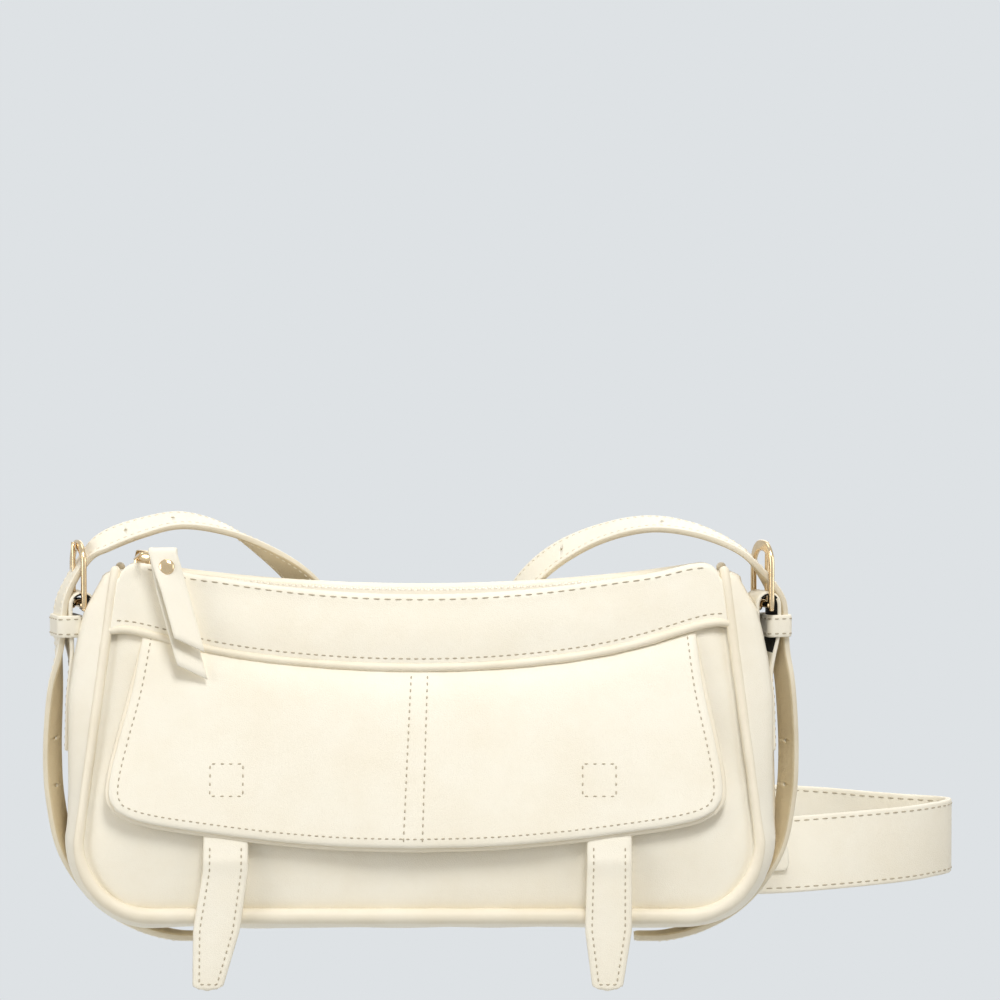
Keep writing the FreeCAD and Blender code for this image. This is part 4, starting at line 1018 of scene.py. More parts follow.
def punch(piece, places, radius):
    """Cut round holes through a closed piece; each place is a point and a direction."""
    tools = bmesh.new()
    for point, axis in places:
        turn = Vector(axis).to_track_quat("Z", "Y").to_matrix().to_4x4()
        matrix = Matrix.Translation(Vector(point) * MM) @ turn
        bmesh.ops.create_cone(tools, cap_ends=True, segments=20, radius1=radius * MM, radius2=radius * MM,
                              depth=0.012, matrix=matrix)
    mesh = bpy.data.meshes.new("punch")
    tools.to_mesh(mesh)
    tools.free()
    cutter = add_object("punch", mesh)
    cut = piece.modifiers.new("holes", "BOOLEAN")
    cut.object = cutter
    cut.solver = "EXACT"
    graph = bpy.context.evaluated_depsgraph_get()
    result = bpy.data.meshes.new_from_object(piece.evaluated_get(graph))
    piece.modifiers.remove(cut)
    old = piece.data
    piece.data = result
    bpy.data.meshes.remove(old)
    bpy.data.objects.remove(cutter)
    bpy.data.meshes.remove(mesh)


HOLE_POINTS = {"left": [(-123.0, 159.6), (-104.0, 164.0), (-156.4, 52.0), (-156.6, 72.0)],
               "right": [(101.0, 162.4), (60.0, 149.9), (156.4, 52.0), (156.6, 72.0)]}

for side, sign, end_x, top_z, arch in (("left", -1, 93, 150.6, LEFT_ARCH),
                                       ("right", 1, 90, 147.6, RIGHT_ARCH)):
    route = tail_route(sign, end_x, top_z) + arch
    parts = strap_frames(route, 420)
    STRAPS[side] = parts
    strap = swept(side + "_strap_leather", strap_rings(parts, STRAP_WIDTH, STRAP_THICK, 3.0), CREAM)
    strap.data.materials.append(TAN_BACK)
    strap.data.materials.append(RAW_EDGE)
    inner = range(8, 16) if side == "left" else range(0, 8)
    paint_side(strap, RING, set(inner), 1, 340)
    paint_side(strap, RING, STRAP_EDGES, 2)
    spots = []
    for x, z in HOLE_POINTS[side]:
        near = np.argmin(np.hypot(parts[0][:, 0] - x, parts[0][:, 2] - z) + 0.5 * np.abs(parts[0][:, 1]))
        spots.append((parts[0][near], parts[3][near]))
    punch(strap, spots, 0.75)
    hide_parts(side + "_strap")
    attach(strap, "root")
    print(side, "strap", len(strap.data.polygons), "faces")

wide_stations = []
for k, (x, y) in enumerate(WIDE_ROUTE):
    tilt = 0.42 * max(1 - k / 6, 0)
    rise = -2.2 * max(1 - k / 6, 0) + 2.0 * min(max((k - 9) / 4, 0), 1)
    wide_stations.append((x, y, WIDE_MID_Z + rise, 0, tilt, 1))
wide_parts = strap_frames(wide_stations, 260)
wide_strap = swept("wide_strap_leather", strap_rings(wide_parts, WIDE_WIDTH, WIDE_THICK), CREAM)
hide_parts("wide_strap")
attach(wide_strap, "root")
print("wide strap", len(wide_strap.data.polygons), "faces")

# %% [markdown]
# ## Ends of the bag: chapes, keepers, buckles and prongs
# A chape is a strip folded round the buckle's bar and sewn down the gusset; its inside is black. The
# keeper is a small leather ring that holds the chape and the strap together. The buckle is a flat
# oblong ring with softened edges and a prong. The strips follow a side-view line, and the ring is a
# rounded section between an inner and an outer outline.

# %% Chapes
def side_view(line, sign, y):
    """Points x, z of the right end as places on the right (+1) or left (-1) end of the bag."""
    line = np.asarray(line, float)
    return np.stack([sign * line[:, 0], np.full(len(line), y), line[:, 1]], axis=-1)


def twisted(points, sign):
    """Turn the upper part of an end with its buckle; the sewn lower part stays square."""
    points = np.array(points, float)
    angle = END_YAW * ease(ramp(points[..., 2], 96, 22))
    x, y = points[..., 0] - sign * HEEL_X, points[..., 1].copy()
    points[..., 0] = sign * HEEL_X + np.cos(angle) * x - np.sin(angle) * y
    points[..., 1] = np.sin(angle) * x + np.cos(angle) * y
    return points


def gusset_face(z):
    """How far out the middle of a gusset stands at a height."""
    heights, bows = zip(*BULGE)
    return HALF_LOW - SIDE_SLOPE * (z - CORNER_W) + np.interp(z, heights, bows)


def chape_line():
    """Middle line of the chape: up the gusset, round the bar and down again outside."""
    heel = np.linspace(math.pi, 0, 15)
    low = [68.0, 78.0, 89.0, 98.0, 104.0]
    inner = [(gusset_face(z) + 1.8, z) for z in low] + [(HEEL_X - 3.6, 119.0)]
    loop = [(HEEL_X + 4.05 * math.cos(a), HEEL_Z + 4.05 * math.sin(a)) for a in heel]
    outer = [(HEEL_X + 4.1, 121.0), (HEEL_X + 3.6, 115.5), (HEEL_X + 2.6, 108.5)]
    outer.append((gusset_face(99) + 3.2, 99.0))
    outer += [(gusset_face(z) + 1.95, z) for z in reversed(low[:3])]
    return np.array(inner + loop + outer)


BLACK_REACH = 0.016
BLACK_LOW = 0.1085


def make_chape(side, sign):
    """Folded strip, black on the faces that look into its loop."""
    line = smooth_line(chape_line(), 150)
    across = np.linspace(-STRAP_WIDTH / 2, STRAP_WIDTH / 2, 9)
    grid = np.stack([side_view(line, sign, y) for y in across], axis=1)
    chape = leather_sheet(side + "_chape_leather", twisted(grid, sign), 1.7, CREAM, flip=sign < 0)
    # The inside faces, those that look into the loop, are coloured black.
    chape.data.materials.append(LOOP_BLACK)
    middle = Vector((sign * HEEL_X, 0, HEEL_Z - 8)) * MM
    for polygon in chape.data.polygons:
        towards = middle - polygon.center
        near = towards.xz.length < BLACK_REACH and polygon.center.z > BLACK_LOW
        if near and polygon.normal.dot(towards) > 0:
            polygon.material_index = 1
    return chape


print("chape line:", len(chape_line()), "points")

# %% Keepers, set in place with the chapes
KEEPER_MID_Z = 120.1


def keeper_outline():
    """Rounded oblong that the keeper's wall follows, with its outward directions."""
    low_x, high_x, half_y, corner = 144.2, 153.9, 7.6, 2.2
    outline = []
    left, right, side = low_x + corner, high_x - corner, half_y - corner
    for x, y, first in ((right, side, 0), (left, side, 90), (left, -side, 180), (right, -side, 270)):
        for angle in np.radians(np.linspace(first, first + 90, 7)):
            outline.append((x + corner * math.cos(angle), y + corner * math.sin(angle)))
    outline = np.array(outline)
    step = unit(np.roll(outline, -1, axis=0) - np.roll(outline, 1, axis=0))
    return outline, np.stack([step[:, 1], -step[:, 0]], axis=-1)


def make_keeper(side, sign):
    """Rounded leather ring; its wall is a soft section carried round an oblong."""
    turn = turn_steps(16)
    wall = 0.75 * blunt(np.cos(turn), 0.5)
    tall = 4.7 * blunt(np.sin(turn), 0.35)
    rings = []
    for (x, y), (out_x, out_y) in zip(*keeper_outline()):
        rings.append(np.stack([sign * (x + out_x * wall), y + out_y * wall, KEEPER_MID_Z + tall], axis=-1))
    return swept(side + "_keeper_leather", twisted(rings, sign), CREAM, closed=True)


for side, sign in SIDES:
    chape = make_chape(side, sign)
    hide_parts(side + "_chape")
    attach(chape, "root")
    keeper = make_keeper(side, sign)
    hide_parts(side + "_keeper")
    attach(keeper, side + "_keeper")
print("chapes and keepers made")


# %% Buckle ring and bar
BUCKLE_TOP = 156.0
BUCKLE_HALF = 10.8
PRONG_R = 0.85


def turned(points, sign):
    """Turn a buckle drawing about the upright through its bar, the same way at both ends."""
    points = np.asarray(points, float)
    x, y = sign * points[..., 0], points[..., 1]
    c, s = math.cos(END_YAW), math.sin(END_YAW)
    return np.stack([sign * HEEL_X + c * x - s * y, s * x + c * y, points[..., 2]], axis=-1)


def arch_outline(half, top, low, corner, count=12):
    """Half of an upright rounded outline as y, z, from the foot of a leg to the top middle."""
    angle = np.linspace(0, math.pi / 2, count)
    bend = np.stack([np.cos(angle), np.sin(angle)], axis=-1) * corner + [half - corner, top - corner]
    leg = np.stack([np.full(7, half), np.linspace(low, top - corner, 8)[:-1]], axis=-1)
    bar = np.stack([np.linspace(half - corner, 0, 6)[1:], np.full(5, top)], axis=-1)
    return np.concatenate([leg, bend, bar])


def joined(name, pieces):
    """Several meshes as one object."""
    work = bmesh.new()
    for piece in pieces:
        work.from_mesh(piece.data)
    mesh = bpy.data.meshes.new(name)
    work.to_mesh(mesh)
    work.free()
    mesh.materials.append(pieces[0].data.materials[0])
    for piece in pieces:
        bpy.data.meshes.remove(piece.data)
    return add_object(name, mesh)


def make_buckle(side, sign):
    """Flat ring with rounded edges, and the bar between the feet of its legs."""
    outer = arch_outline(BUCKLE_HALF, BUCKLE_TOP, HEEL_Z - 1.6, 9.8)
    inner = arch_outline(BUCKLE_HALF - 2.8, BUCKLE_TOP - 4.6, HEEL_Z - 1.6, 7.2)
    outer = np.concatenate([outer, outer[-2::-1] * [-1, 1]])
    inner = np.concatenate([inner, inner[-2::-1] * [-1, 1]])
    turn = turn_steps(16)
    wide = blunt(np.cos(turn), 0.6)
    deep = 1.1 * blunt(np.sin(turn), 0.6)
    rings = []
    for a, b in zip(outer, inner):
        spot = (a + b) / 2 + wide[:, None] * (a - b) / 2
        rings.append(np.stack([deep, spot[:, 0], spot[:, 1]], axis=-1))
    first, last = np.array(rings[0]), np.array(rings[-1])
    for shrink, drop in ((0.8, 0.55), (0.35, 0.85)):
        for end, ring in ((0, first), (len(rings), last)):
            cap = ring.mean(axis=0) + (ring - ring.mean(axis=0)) * shrink
            cap[:, 2] -= drop
            rings.insert(end, cap)
    ring = swept(side + "_ring", turned(rings, sign), GOLD)
    bar_y = np.linspace(-BUCKLE_HALF + 1.4, BUCKLE_HALF - 1.4, 9)
    bar = np.stack([np.zeros(9), bar_y, np.full(9, HEEL_Z)], axis=-1)
    bar = swept(side + "_bar", turned(tube_rings(bar, 1.35, 14), sign), GOLD)
    return joined(side + "_buckle_ring", [ring, bar])


print("buckle height:", BUCKLE_TOP - HEEL_Z, "mm above its bar")


# %% Prongs, set in place with the buckles
def make_prong(side, sign):
    """Tapered prong with an eye round the bar; its tip lies on the top of the ring."""
    angles = np.radians(np.linspace(-20, 250, 15))
    eye = [(1.95 * math.cos(a), HEEL_Z + 1.95 * math.sin(a)) for a in angles[::-1]]
    shank = [(1.9, HEEL_Z + 4), (1.95, HEEL_Z + 12), (2.05, HEEL_Z + 20),
             (2.15, BUCKLE_TOP - 2.6), (2.1, BUCKLE_TOP - 0.9)]
    line = np.array(eye + shank)
    line = np.stack([line[:, 0], np.zeros(len(line)), line[:, 1]], axis=-1)
    rings = tube_rings(line, PRONG_R, 12)
    last = len(line) - 1
    width = np.interp(np.arange(last + 1), [0, len(eye), last - 1, last], [1.25, 1.25, 1.15, 0.6])
    for ring, half in zip(rings, width):
        ring[:, 1] *= half / PRONG_R
    return swept(side + "_prong_metal", turned(rings, sign), GOLD)


for side, sign in SIDES:
    buckle = make_buckle(side, sign)
    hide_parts(side + "_buckle")
    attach(buckle, "root")
    prong = make_prong(side, sign)
    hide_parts(side + "_prong")
    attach(prong, side + "_prong")
print("buckles and prongs made")

# %% [markdown]
# ## Zip and pull
# The zip dips along the top edge: two woven tapes, two rows of nylon teeth, a gold slider with a wire
# link, and a leather tab folded over the link and held by a rivet. The zip's line is an arc, so every
# zip piece is drawn by its place along that arc. Teeth repeat, so a Geometry Nodes tree sets one tooth
# along a line; the same tree sews the stitches later.

# %% Zip tapes
ZIP_R = (HALF_TOP ** 2 + TOP_DIP ** 2) / (2 * TOP_DIP)
ZIP_CENTRE_Z = PANEL_HEIGHT - TOP_DIP + ZIP_R
TAPE_HALF = 122.0
TAPE_IN = 2.3


def on_zip(x, drop):
    """Height of the zip's arc at x, drop below the edge line."""
    return ZIP_CENTRE_Z - (ZIP_R + drop) * np.sqrt(1 - (np.asarray(x, float) / ZIP_R) ** 2)


def tape_grid():
    """Front tape, from beside the teeth to the yoke, sagging a little with it."""
    x = np.linspace(-TAPE_HALF, TAPE_HALF, 123)
    z = on_zip(x, 2.4)
    reach = HALF_DEPTH - TAPE_IN - math.tan(LEAN) * z
    rows = []
    for share in np.linspace(0, 1, 9):
        y = -TAPE_IN - share * (reach - TAPE_IN)
        fall = YOKE_DIP * share ** 2 * dip_share(x)
        rows.append(np.stack([x, y, z - fall - 0.35 * math.sin(math.pi * share)], axis=-1))
    return np.array(rows)


front_tape = leather_sheet("front_zip_tape_cloth", tape_grid(), 0.8, TAPE)
back_tape = leather_sheet("back_zip_tape_cloth", mirrored(tape_grid(), 1), 0.8, TAPE, flip=True)
for piece, node in ((front_tape, "front_zip_tape"), (back_tape, "back_zip_tape")):
    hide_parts(node)
    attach(piece, "root")
print("zip arc radius", round(ZIP_R), "mm")


# %% One tree that repeats a small shape along lines
def repeat_tree():
    """Mesh lines to curves, even points, one piece on each, made real and given a finish."""
    tree = bpy.data.node_groups.new("repeat_along_lines", "GeometryNodeTree")
    for label, kind in (("Geometry", "Geometry"), ("Piece", "Object"), ("Pitch", "Float"),
                        ("Finish", "Material")):
        tree.interface.new_socket(label, in_out="INPUT", socket_type="NodeSocket" + kind)
    tree.interface.new_socket("Geometry", in_out="OUTPUT", socket_type="NodeSocketGeometry")
    start = tree.nodes.new("NodeGroupInput")
    end = tree.nodes.new("NodeGroupOutput")
    curve = add_node(tree, "GeometryNodeMeshToCurve", {"Mesh": start.outputs["Geometry"]})
    even = add_node(tree, "GeometryNodeCurveToPoints", mode="LENGTH")
    set_inputs(tree, even, {"Curve": curve.outputs["Curve"], "Length": start.outputs["Pitch"]})
    along = add_node(tree, "FunctionNodeAlignRotationToVector",
                     {"Vector": even.outputs["Tangent"]}, axis="X")
    up = add_node(tree, "GeometryNodeInputNamedAttribute", {"Name": "up"}, data_type="FLOAT_VECTOR")
    upright = add_node(tree, "FunctionNodeAlignRotationToVector", {
        "Rotation": along.outputs["Rotation"], "Vector": up.outputs["Attribute"]}, axis="Z", pivot_axis="X")
    piece = add_node(tree, "GeometryNodeObjectInfo", {"Object": start.outputs["Piece"]})
    place = add_node(tree, "GeometryNodeInstanceOnPoints", {
        "Points": even.outputs["Points"], "Instance": piece.outputs["Geometry"],
        "Rotation": upright.outputs["Rotation"]})
    real = add_node(tree, "GeometryNodeRealizeInstances", {"Geometry": place.outputs["Instances"]})
    finish = add_node(tree, "GeometryNodeSetMaterial", {
        "Geometry": real.outputs["Geometry"], "Material": start.outputs["Finish"]})
    set_inputs(tree, end, {"Geometry": finish.outputs["Geometry"]})
    return tree


REPEAT = repeat_tree()
print("repeat tree:", len(REPEAT.nodes), "nodes")


# %% Plain meshes from the tree
def repeat_along(name, runs, shape, pitch, material):
    """One plain mesh of a shape repeated along runs; each run is points and up directions."""
    points, ups, edges = [], [], []
    for line, up in runs:
        first = len(points)
        points += [tuple(p) for p in np.asarray(line) * MM]
        ups += [tuple(v) for v in np.broadcast_to(up, np.shape(line))]
        edges += [(first + k, first + k + 1) for k in range(len(line) - 1)]
    mesh = bpy.data.meshes.new(name)
    mesh.from_pydata(points, edges, [])
    attribute = mesh.attributes.new("up", "FLOAT_VECTOR", "POINT")
    attribute.data.foreach_set("vector", np.asarray(ups, float).ravel())
    lines = add_object(name + "_lines", mesh)
    modifier = lines.modifiers.new("repeat", "NODES")
    modifier.node_group = REPEAT
    values = {"Piece": shape, "Pitch": pitch * MM, "Finish": material}
    for item in REPEAT.interface.items_tree:
        if item.in_out == "INPUT" and item.name in values:
            modifier[item.identifier] = values[item.name]
    graph = bpy.context.evaluated_depsgraph_get()
    result = bpy.data.meshes.new_from_object(lines.evaluated_get(graph))
    result.name = name
    if "up" in result.attributes:
        result.attributes.remove(result.attributes["up"])
    bpy.data.objects.remove(lines)
    bpy.data.meshes.remove(mesh)
    return add_object(name, result)


def small_shape(name, rings, material):
    """A small closed shape to repeat, kept only until the repeats are made."""
    shape = swept(name, rings, material)
    shape.hide_render = True
    return shape


print("tree inputs:", [item.name for item in REPEAT.interface.items_tree if item.in_out == "INPUT"])

# %% Zip teeth
TEETH_PITCH = 2.7
TEETH_HALF = 117.0
turn = turn_steps(8)
section = np.stack([0.85 * np.cos(turn), np.zeros(8), 0.95 * np.sin(turn)], axis=-1)
tooth_rings = []
for y, size in ((-1.35, 0.25), (-1.2, 0.7), (-0.5, 0.9), (0.5, 1.0), (1.05, 0.85), (1.3, 0.3)):
    tooth_rings.append(section * size + [0, y, 0])
tooth = small_shape("tooth_shape", tooth_rings, NYLON)
for side, sign in (("front", -1), ("back", 1)):
    x = np.linspace(-TEETH_HALF, TEETH_HALF, 90) + sign * TEETH_PITCH / 4
    line = np.stack([x, np.full(90, sign * 1.25), on_zip(x, 1.9)], axis=-1)
    teeth = repeat_along(side + "_nylon_teeth", [(line, (0, 0, 1))], tooth, TEETH_PITCH, NYLON)
    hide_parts(side + "_zip_teeth")
    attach(teeth, "root")
    print(side, "teeth:", len(teeth.data.polygons), "faces")
bpy.data.objects.remove(tooth)


# %% Wire link
LINK_BAR = np.array([-116.5, 0.0, 147.8])
TAB_BAR = np.array([-106.4, -22.136, 151.774])
LINK_CORNER = 1.7


def make_link():
    """Wire loop with round corners from the slider's bridge to the fold of the tab."""
    corners = [LINK_BAR + [-3.4, 0, 0], LINK_BAR + [3.4, 0, 0],
               TAB_BAR + [4.9, 0, 0], TAB_BAR + [-8.9, 0, 0]]
    line = []
    for k in range(4):
        before, here, after = corners[k - 1], corners[k], corners[(k + 1) % 4]
        enter = here + unit(before - here) * LINK_CORNER
        leave = here + unit(after - here) * LINK_CORNER
        ahead = after + unit(here - after) * LINK_CORNER
        for t in np.linspace(0, 1, 7):
            line.append((1 - t) ** 2 * enter + 2 * t * (1 - t) * here + t * t * leave)
        line += [leave + (ahead - leave) * t for t in (0.25, 0.5, 0.75)]
    return swept("pull_link_wire", tube_rings(line, 0.8, 12), GOLD, closed=True)


link_wire = make_link()
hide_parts("pull_link")
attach(link_wire, "pull_link")
print("link:", len(link_wire.data.polygons), "faces")


# %% Folded tab
def tab_point(u, w, n):
    """Places on the tab's drawing, which hangs from the link's front bar."""
    u, w, n = np.broadcast_arrays(np.asarray(u, float), np.asarray(w, float), np.asarray(n, float))
    return TAB_BAR + np.stack([u, w * SIN_LEAN - n * COS_LEAN, w * COS_LEAN + n * SIN_LEAN], axis=-1)


TAB_OUTER = 2.45
TAB_SLOPE = math.tan(math.radians(16.0))
TAB_TWIST = math.radians(20.0)


def tab_grid():
    """Front layer from its slanted end up, over the fold, and down the longer back layer."""
    columns = []
    for share in np.linspace(0, 1, 9):
        front = np.linspace(-35.5 - 5.5 * share, 0, 16)
        back = np.linspace(0, -46.5 - 5.5 * share, 20)
        turn = np.linspace(0, math.pi, 9)[1:-1]
        w = np.concatenate([front, TAB_OUTER * np.sin(turn), back])
        n = np.concatenate([TAB_OUTER + 1.6 * (front / 44) ** 2 * (front < 0), TAB_OUTER * np.cos(turn),
                            np.full(20, -TAB_OUTER) + 0.8 * (back / 56) ** 2])
        hang = np.clip(-w / 16, 0, 1)
        twist = TAB_TWIST * ease(hang)
        off = 11.0 * share - 5.5
        part = np.concatenate([np.full(16, 0.8), np.zeros(7), np.full(20, -1.8)])
        u = off * np.cos(twist) - np.minimum(w, 0) * TAB_SLOPE + part * hang
        columns.append(tab_point(u, w, n - off * np.sin(twist)))
    return np.stack(columns, axis=1)


tab = leather_sheet("pull_tab_leather", tab_grid(), 1.25, CREAM)
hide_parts("pull_tab")
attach(tab, "pull_tab")
print("tab:", len(tab.data.polygons), "faces")


# %% Rivet
def dome(spot, outward, radius, height):
    """Low rivet head: rings that close towards the top."""
    outward = unit(np.asarray(outward, float))
    side = unit(np.cross(outward, [1.0, 0.2, 0.1]))
    other = np.cross(outward, side)
    angle = turn_steps(24)[:, None]
    circle = np.cos(angle) * side + np.sin(angle) * other
    profile = [(0.55, -0.2), (0.97, -0.1), (1.0, 0.15), (0.96, 0.42), (0.8, 0.72), (0.5, 0.93), (0.15, 1.0)]
    return np.array([spot + outward * height * up + circle * radius * wide for wide, up in profile])


rivet_u, rivet_w = 6.0 * TAB_SLOPE, -6.0
ahead = np.array([0, -COS_LEAN, SIN_LEAN])
head = swept("rivet_head", dome(tab_point(rivet_u, rivet_w, TAB_OUTER), ahead, 3.3, 1.1), GOLD)
tail = swept("rivet_tail", dome(tab_point(rivet_u, rivet_w, -TAB_OUTER), -ahead, 3.1, 0.8), GOLD)
shank_line = tab_point(rivet_u, rivet_w, np.linspace(-TAB_OUTER, TAB_OUTER, 4))
shank = swept("rivet_shank", tube_rings(shank_line, 1.25, 16), GOLD)
rivet = joined("pull_rivet_metal", [head, tail, shank])
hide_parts("pull_rivet")
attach(rivet, "pull_tab")
print("rivet:", len(rivet.data.polygons), "faces")

# %% [markdown]
# ## Stitching
# The seams are sewn with a beige thread and the narrow straps with a cream one, in short dashes a few
# millimetres apart. Most lines of stitches are drawn on the pattern and then dropped straight onto the
# leather, so the thread lies on the swells and dents; those on straps and keepers follow their sections.
# The repeat tree sets one small rounded dash along each line. There is one mesh or more of stitches
# for each moving piece; those on the keepers are attached to the keeper's body.

# %% Stitch shapes and lines on the leather
from mathutils.bvhtree import BVHTree


def stitch_shape(name, length):
    """A short dash of thread that dips into the leather at both ends."""
    rings = []
    turn = turn_steps(6)
    section = np.stack([np.zeros(6), np.cos(turn), np.sin(turn)], axis=-1)
    for share, size in ((-1, 0.10), (-0.85, 0.22), (-0.4, 0.29), (0.4, 0.29), (0.85, 0.22), (1, 0.10)):
        rings.append(section * size + [share * length / 2, 0, 0.10 - 0.28 * share * share])
    return small_shape(name, rings, THREAD)


DROP_FROM = 0.05


def dropped(piece, points, direction):
    """Where lines meet a piece when they are dropped along a direction, with the normals there."""
    graph = bpy.context.evaluated_depsgraph_get()
    tree = BVHTree.FromObject(piece, graph)
    direction = Vector(direction).normalized()
    places, ups = [], []
    for point in np.asarray(points, float):
        start = Vector(point) * MM - direction * DROP_FROM
        hit, normal, _, _ = tree.ray_cast(start, direction)
        if hit is None:
            continue
        places.append(np.array(hit) / MM)
        ups.append(np.array(normal if normal.dot(direction) < 0 else -normal))
    return np.array(places), np.array(ups)


INTO_FRONT = (0, COS_LEAN, -SIN_LEAN)
INTO_BACK = (0, -COS_LEAN, -SIN_LEAN)
short_stitch = stitch_shape("short_stitch", 2.0)
dot_stitch = stitch_shape("dot_stitch", 1.6)
long_stitch = stitch_shape("long_stitch", 3.0)


def inset_line(line, amount):
    """A flat line moved sideways, to its left."""
    step = unit(np.gradient(np.asarray(line, float), axis=0))
    return line + np.stack([-step[:, 1], step[:, 0]], axis=-1) * amount


STRAP_SEAM = 4.75
WIDE_SEAM = 14.4


def yoke_lines(piece, into, back):
    """The stitch lines along the top and bottom of a yoke."""
    u = np.linspace(-112, 117, 113)
    top = front_point(u, yoke_top(u, *((0.0, 0.2) if back else (YOKE_DIP,))) - 2.5, 20)
    u = np.linspace(-1, 1, 113) * (half_width(YOKE_SIDE) - 5.0)
    low = front_point(u, yoke_edge(u) + 3.4, 20)
    if back:
        top, low = mirrored(top, 1), mirrored(low, 1)
    return dropped(piece, top, into), dropped(piece, low, into)


print("one stitch:", len(short_stitch.data.polygons), "faces")


# %% Stitches on the body and the straps
body_long, body_short, strap_lines = [], [], []
for piece, into, back in ((front_yoke, INTO_FRONT, False), (back_yoke, INTO_BACK, True)):
    top_line, low_line = yoke_lines(piece, into, back)
    body_long.append(top_line)
    body_short.append(low_line)
for side, sign in SIDES:
    middle, along, across, normal = STRAPS[side]
    outward = normal * -sign
    for face, first in ((outward, 8), (-outward, 200)):
        for edge in (-STRAP_SEAM, STRAP_SEAM):
            line = middle + across * edge + face * STRAP_THICK / 2
            strap_lines.append((line[first:-8], face[first:-8]))
    chape = bpy.data.objects[side + "_chape_leather"]
    heights = np.linspace(70, 104, 24)
    for y in (-4.9, 4.9):
        line = np.stack([np.full(24, sign * 175.0), np.full(24, y), heights], axis=-1)
        body_short.append(dropped(chape, line, (-sign, 0, 0)))
    if side == "right":
        sewn = slice(-44, -6)
        for edge in (-STRAP_SEAM, STRAP_SEAM):
            body_short.append(((middle + across * edge + outward * 1.5)[sewn], outward[sewn]))
        end = middle[-7] + np.linspace(-4.0, 4.0, 9)[:, None] * across[-7] + outward[-7] * 1.5
        body_short.append((end, np.repeat(outward[-7:-6], 9, axis=0)))
middle, along, across, normal = wide_parts
for face in (normal, -normal):
    for edge in (-WIDE_SEAM, WIDE_SEAM):
        body_long.append((middle[4:-4] + across[4:-4] * edge + face[4:-4] * WIDE_THICK / 2, face[4:-4]))
for name, runs, shape, pitch, finish in (("body_long_stitches", body_long, long_stitch, 4.5, THREAD),
                                         ("body_short_stitches", body_short, short_stitch, 3.2, THREAD),
                                         ("strap_stitches", strap_lines, short_stitch, 3.1, TONAL)):
    stitches = repeat_along(name, runs, shape, pitch, finish)
    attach(stitches, "root")
    print(name, len(stitches.data.polygons), "faces")


# %% Stitches on the flap
def flap_lines():
    """Edge line, the double line down the middle and the two small squares."""
    flat = flap_pattern(0.0)
    edge = np.concatenate([flat[2:, 0], flat[-1, 1:-1], flat[:1:-1, -1]])
    lines = [inset_line(edge, 3.4)]
    for top_u, low_u in ((-3.4, -6.2), (3.4, 1.6)):
        lines.append(np.linspace((top_u, yoke_edge(0) - 4.5), (low_u, 33.5), 40))
    for left, right in ((-86.2, -72.6), (67.6, 81.4)):
        corners = [(left, 51.7), (right, 51.7), (right, 65.1), (left, 65.1), (left, 51.7)]
        for a, b in zip(corners, corners[1:]):
            a, b = np.array(a), np.array(b)
            lines.append(np.linspace(a + 0.11 * (b - a), b + 0.11 * (a - b), 12))
    return lines


runs = []
for line in flap_lines():
    runs.append(dropped(flap_outer, front_point(line[:, 0], line[:, 1], 30), INTO_FRONT))
flap_stitches = repeat_along("flap_stitches", runs, dot_stitch, 2.9, THREAD)
bend_flap(flap_stitches)
print("flap stitches:", len(flap_stitches.data.polygons), "faces")

# %% Stitches on the tongues and the keepers
for side, (middle_x, drift) in TONGUES.items():
    grid = tongue_grid(middle_x, drift, inset=2.2)
    low = int(np.argmin(np.abs(grid[:, 0, 2] - (TONGUE_TIP_Z + 2.4))))
    high = int(np.argmin(np.abs(grid[:, 0, 2] - 31.0)))
    sides = grid[high:low + 1]
    tip = np.linspace(grid[low, 0], grid[low, -1], 8)[1:-1]
    line = np.concatenate([sides[:, 0], tip, sides[::-1, -1]])
    tongue = bpy.data.objects[side + "_tongue_leather"]
    run = dropped(tongue, line, (0, 1, 0))
    stitches = repeat_along(side + "_tongue_stitches", [run], dot_stitch, 2.8, THREAD)
    bend_tongue(stitches)
for side, sign in SIDES:
    outline, outward = keeper_outline()
    runs = []
    for z in (-3.1, 3.1):
        level = np.full(len(outline), KEEPER_MID_Z + z)
        rim = np.column_stack([sign * outline[:, 0], outline[:, 1], level])
        ahead = np.column_stack([sign * outward[:, 0], outward[:, 1], 0 * level])
        outer = twisted(rim + 0.72 * ahead, sign)
        ups = unit(twisted(rim + 2 * ahead, sign) - twisted(rim, sign))
        runs.append((np.concatenate([outer, outer[:1]]), np.concatenate([ups, ups[:1]])))
    stitches = repeat_along(side + "_keeper_stitches", runs, short_stitch, 3.2, THREAD)
    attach(stitches, side + "_keeper")
for shape in (short_stitch, dot_stitch, long_stitch):
    bpy.data.objects.remove(shape)
print("stitching done")

# %% [markdown]
# ## Slider and inside
# The slider is a small gold casting: a rounded cap over the teeth with a bridge that holds the link.
# Inside the bag are the two linings and a slip pocket, thin cloth sewn in along its edges. They are
# seen only with the flap and zip open, so simple soft sheets are enough, but they replace the plain
# solids so that no flat plate is left showing. Two small leather ends close the opening past the zip:
# grids between the yokes, with a shallow groove where the slider passes over them.

# %% Zip slider
SLIDER_X = -116.8


def at_slider(points):
    """Carry a drawing made at the middle of the zip along its arc to the slider's place."""
    angle = math.asin(SLIDER_X / ZIP_R)
    points = np.asarray(points, float)
    x, z = points[..., 0], points[..., 2] - ZIP_CENTRE_Z
    return np.stack([math.cos(angle) * x - math.sin(angle) * z, points[..., 1],
                     ZIP_CENTRE_Z + math.sin(angle) * x + math.cos(angle) * z], axis=-1)


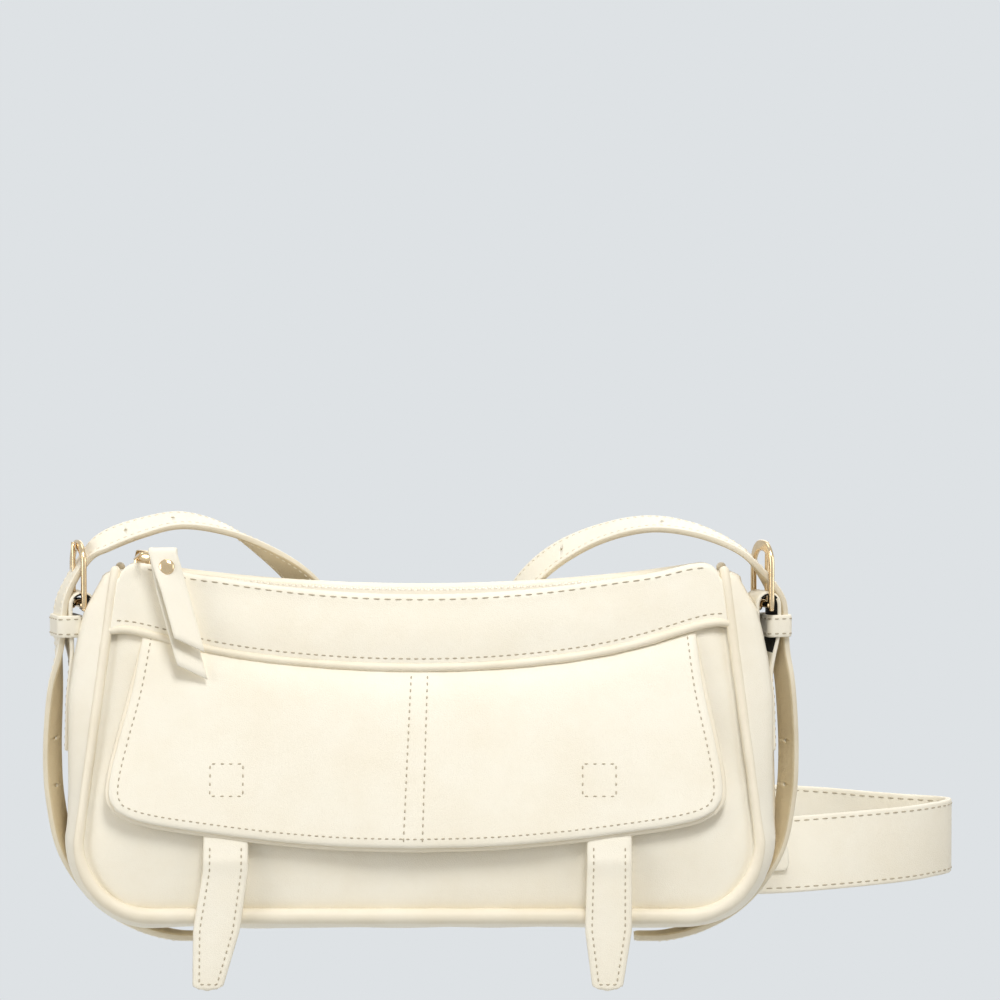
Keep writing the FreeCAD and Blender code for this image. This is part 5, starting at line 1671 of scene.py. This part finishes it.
def soft_block(half_x, half_y, low, high):
    """A block with generously rounded corners, as rings from end to end."""
    turn = turn_steps(24)
    y = blunt(np.cos(turn), 0.5) * half_y
    z = blunt(np.sin(turn), 0.5) * (high - low) / 2
    section = np.stack([np.zeros(24), y, z], axis=-1)
    rings = []
    for share, size in ((-1, 0.55), (-0.97, 0.8), (-0.88, 0.95), (-0.6, 1.0),
                        (0.6, 0.92), (0.88, 0.8), (0.97, 0.62), (1, 0.4)):
        rings.append(section * size + [share * half_x, 0, (low + high) / 2])
    return np.array(rings)


SLIDER_TOP = float(on_zip(0, -0.05))
cap = swept("slider_cap", at_slider(soft_block(4.9, 4.3, SLIDER_TOP - 1.5, SLIDER_TOP + 0.2)), GOLD)
cheeks = []
for y in (-3.5, 3.5):
    cheek = soft_block(4.4, 0.65, SLIDER_TOP - 3.2, SLIDER_TOP - 0.6)
    cheeks.append(swept("slider_cheek", at_slider(cheek + [0, y, 0]), GOLD))
arch = np.radians(np.linspace(-8, 188, 19))
bridge_line = np.stack([np.zeros(19), 3.2 * np.cos(arch), SLIDER_TOP + 5.6 * np.sin(arch)], axis=-1)
bridge_rings = tube_rings(bridge_line, 0.62, 12)
bridge_rings[..., 0] *= 5.6
bridge = swept("slider_bridge", at_slider(bridge_rings), GOLD)
slider = joined("zip_slider_metal", [cap, bridge] + cheeks)
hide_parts("zip_slider")
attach(slider, "zip_slider")
print("slider:", len(slider.data.polygons), "faces")


# %% Linings and inner pocket
LINING_IN = 5.5
LINING_LOW = 9.5
POCKET_LOW, POCKET_HIGH = 40.0, 95.0
POCKET_HALF = 70.0
CLOTH_THICK = 0.7


def lining_grid(seed):
    """Cloth behind the panel, a little loose between its sewn edges."""
    up = np.linspace(LINING_LOW, YOKE_SIDE / COS_LEAN - 6.0, 34)
    w = np.repeat(up[:, None], 61, axis=1)
    u = np.linspace(-1, 1, 61) * (half_width(w) - LINING_IN)
    edge = np.clip(np.minimum(half_width(w) - np.abs(u) - LINING_IN, w - LINING_LOW) / 25, 0, 1)
    sag = 0.6 * edge * (1 + ripple(np.stack([u, w, 0 * u], axis=-1), 40.0, seed))
    return front_point(u, w, -2.6 - sag - 1.3 * base_in(w))


def pocket_grid():
    """Slip pocket on the back lining, bowed open a little at the top."""
    u, w = np.meshgrid(np.linspace(-POCKET_HALF, POCKET_HALF, 33), np.linspace(POCKET_LOW, POCKET_HIGH, 20))
    bow = 1.4 * (1 - (u / POCKET_HALF) ** 2) * ramp(w, POCKET_LOW, POCKET_HIGH - POCKET_LOW)
    return front_point(u, w, -4.6 - bow)


front_lining = leather_sheet("front_lining_cloth", lining_grid(41), CLOTH_THICK, LINING)
back_lining = leather_sheet("back_lining_cloth", mirrored(lining_grid(42), 1), CLOTH_THICK, LINING,
                            flip=True)
pocket = leather_sheet("inner_pocket_cloth", mirrored(pocket_grid(), 1), CLOTH_THICK, LINING, flip=True)
for piece, node in ((front_lining, "front_lining"), (back_lining, "back_lining"), (pocket, "inner_pocket")):
    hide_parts(node)
    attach(piece, "root")
for node, finish in (("base_board", BOARD), ("flap_magnets", STEEL), ("zip_stops", GOLD)):
    nodes[node].material_slots[0].material = finish
print("linings, pocket and plain solids finished")

# %% Leather ends that close the zip opening
END_HALF = 11.8


def end_grid(sign, reach):
    """Small piece between the two yokes at the end of the zip, with a groove where the slider runs."""
    x, y = np.meshgrid(np.linspace(110, 127.4, 23), np.linspace(-END_HALF, END_HALF, 25))
    beside = ease(ramp(np.abs(y), 5.2, 2.6))
    beyond = ease(ramp(x, reach, 1.6))
    groove = 1.2 * (1 - beside) * (1 - beyond)
    z = top_edge(x) * COS_LEAN - 3.2 - groove + 0.5 * (1 - (y / END_HALF) ** 2)
    return np.stack([sign * x, y, z], axis=-1)


for side, sign, reach in (("left", -1, 122.0), ("right", 1, 116.4)):
    closing = leather_sheet(side + "_zip_end_leather", end_grid(sign, reach), 1.2, CREAM, flip=sign < 0)
    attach(closing, "root")
print("zip ends closed")
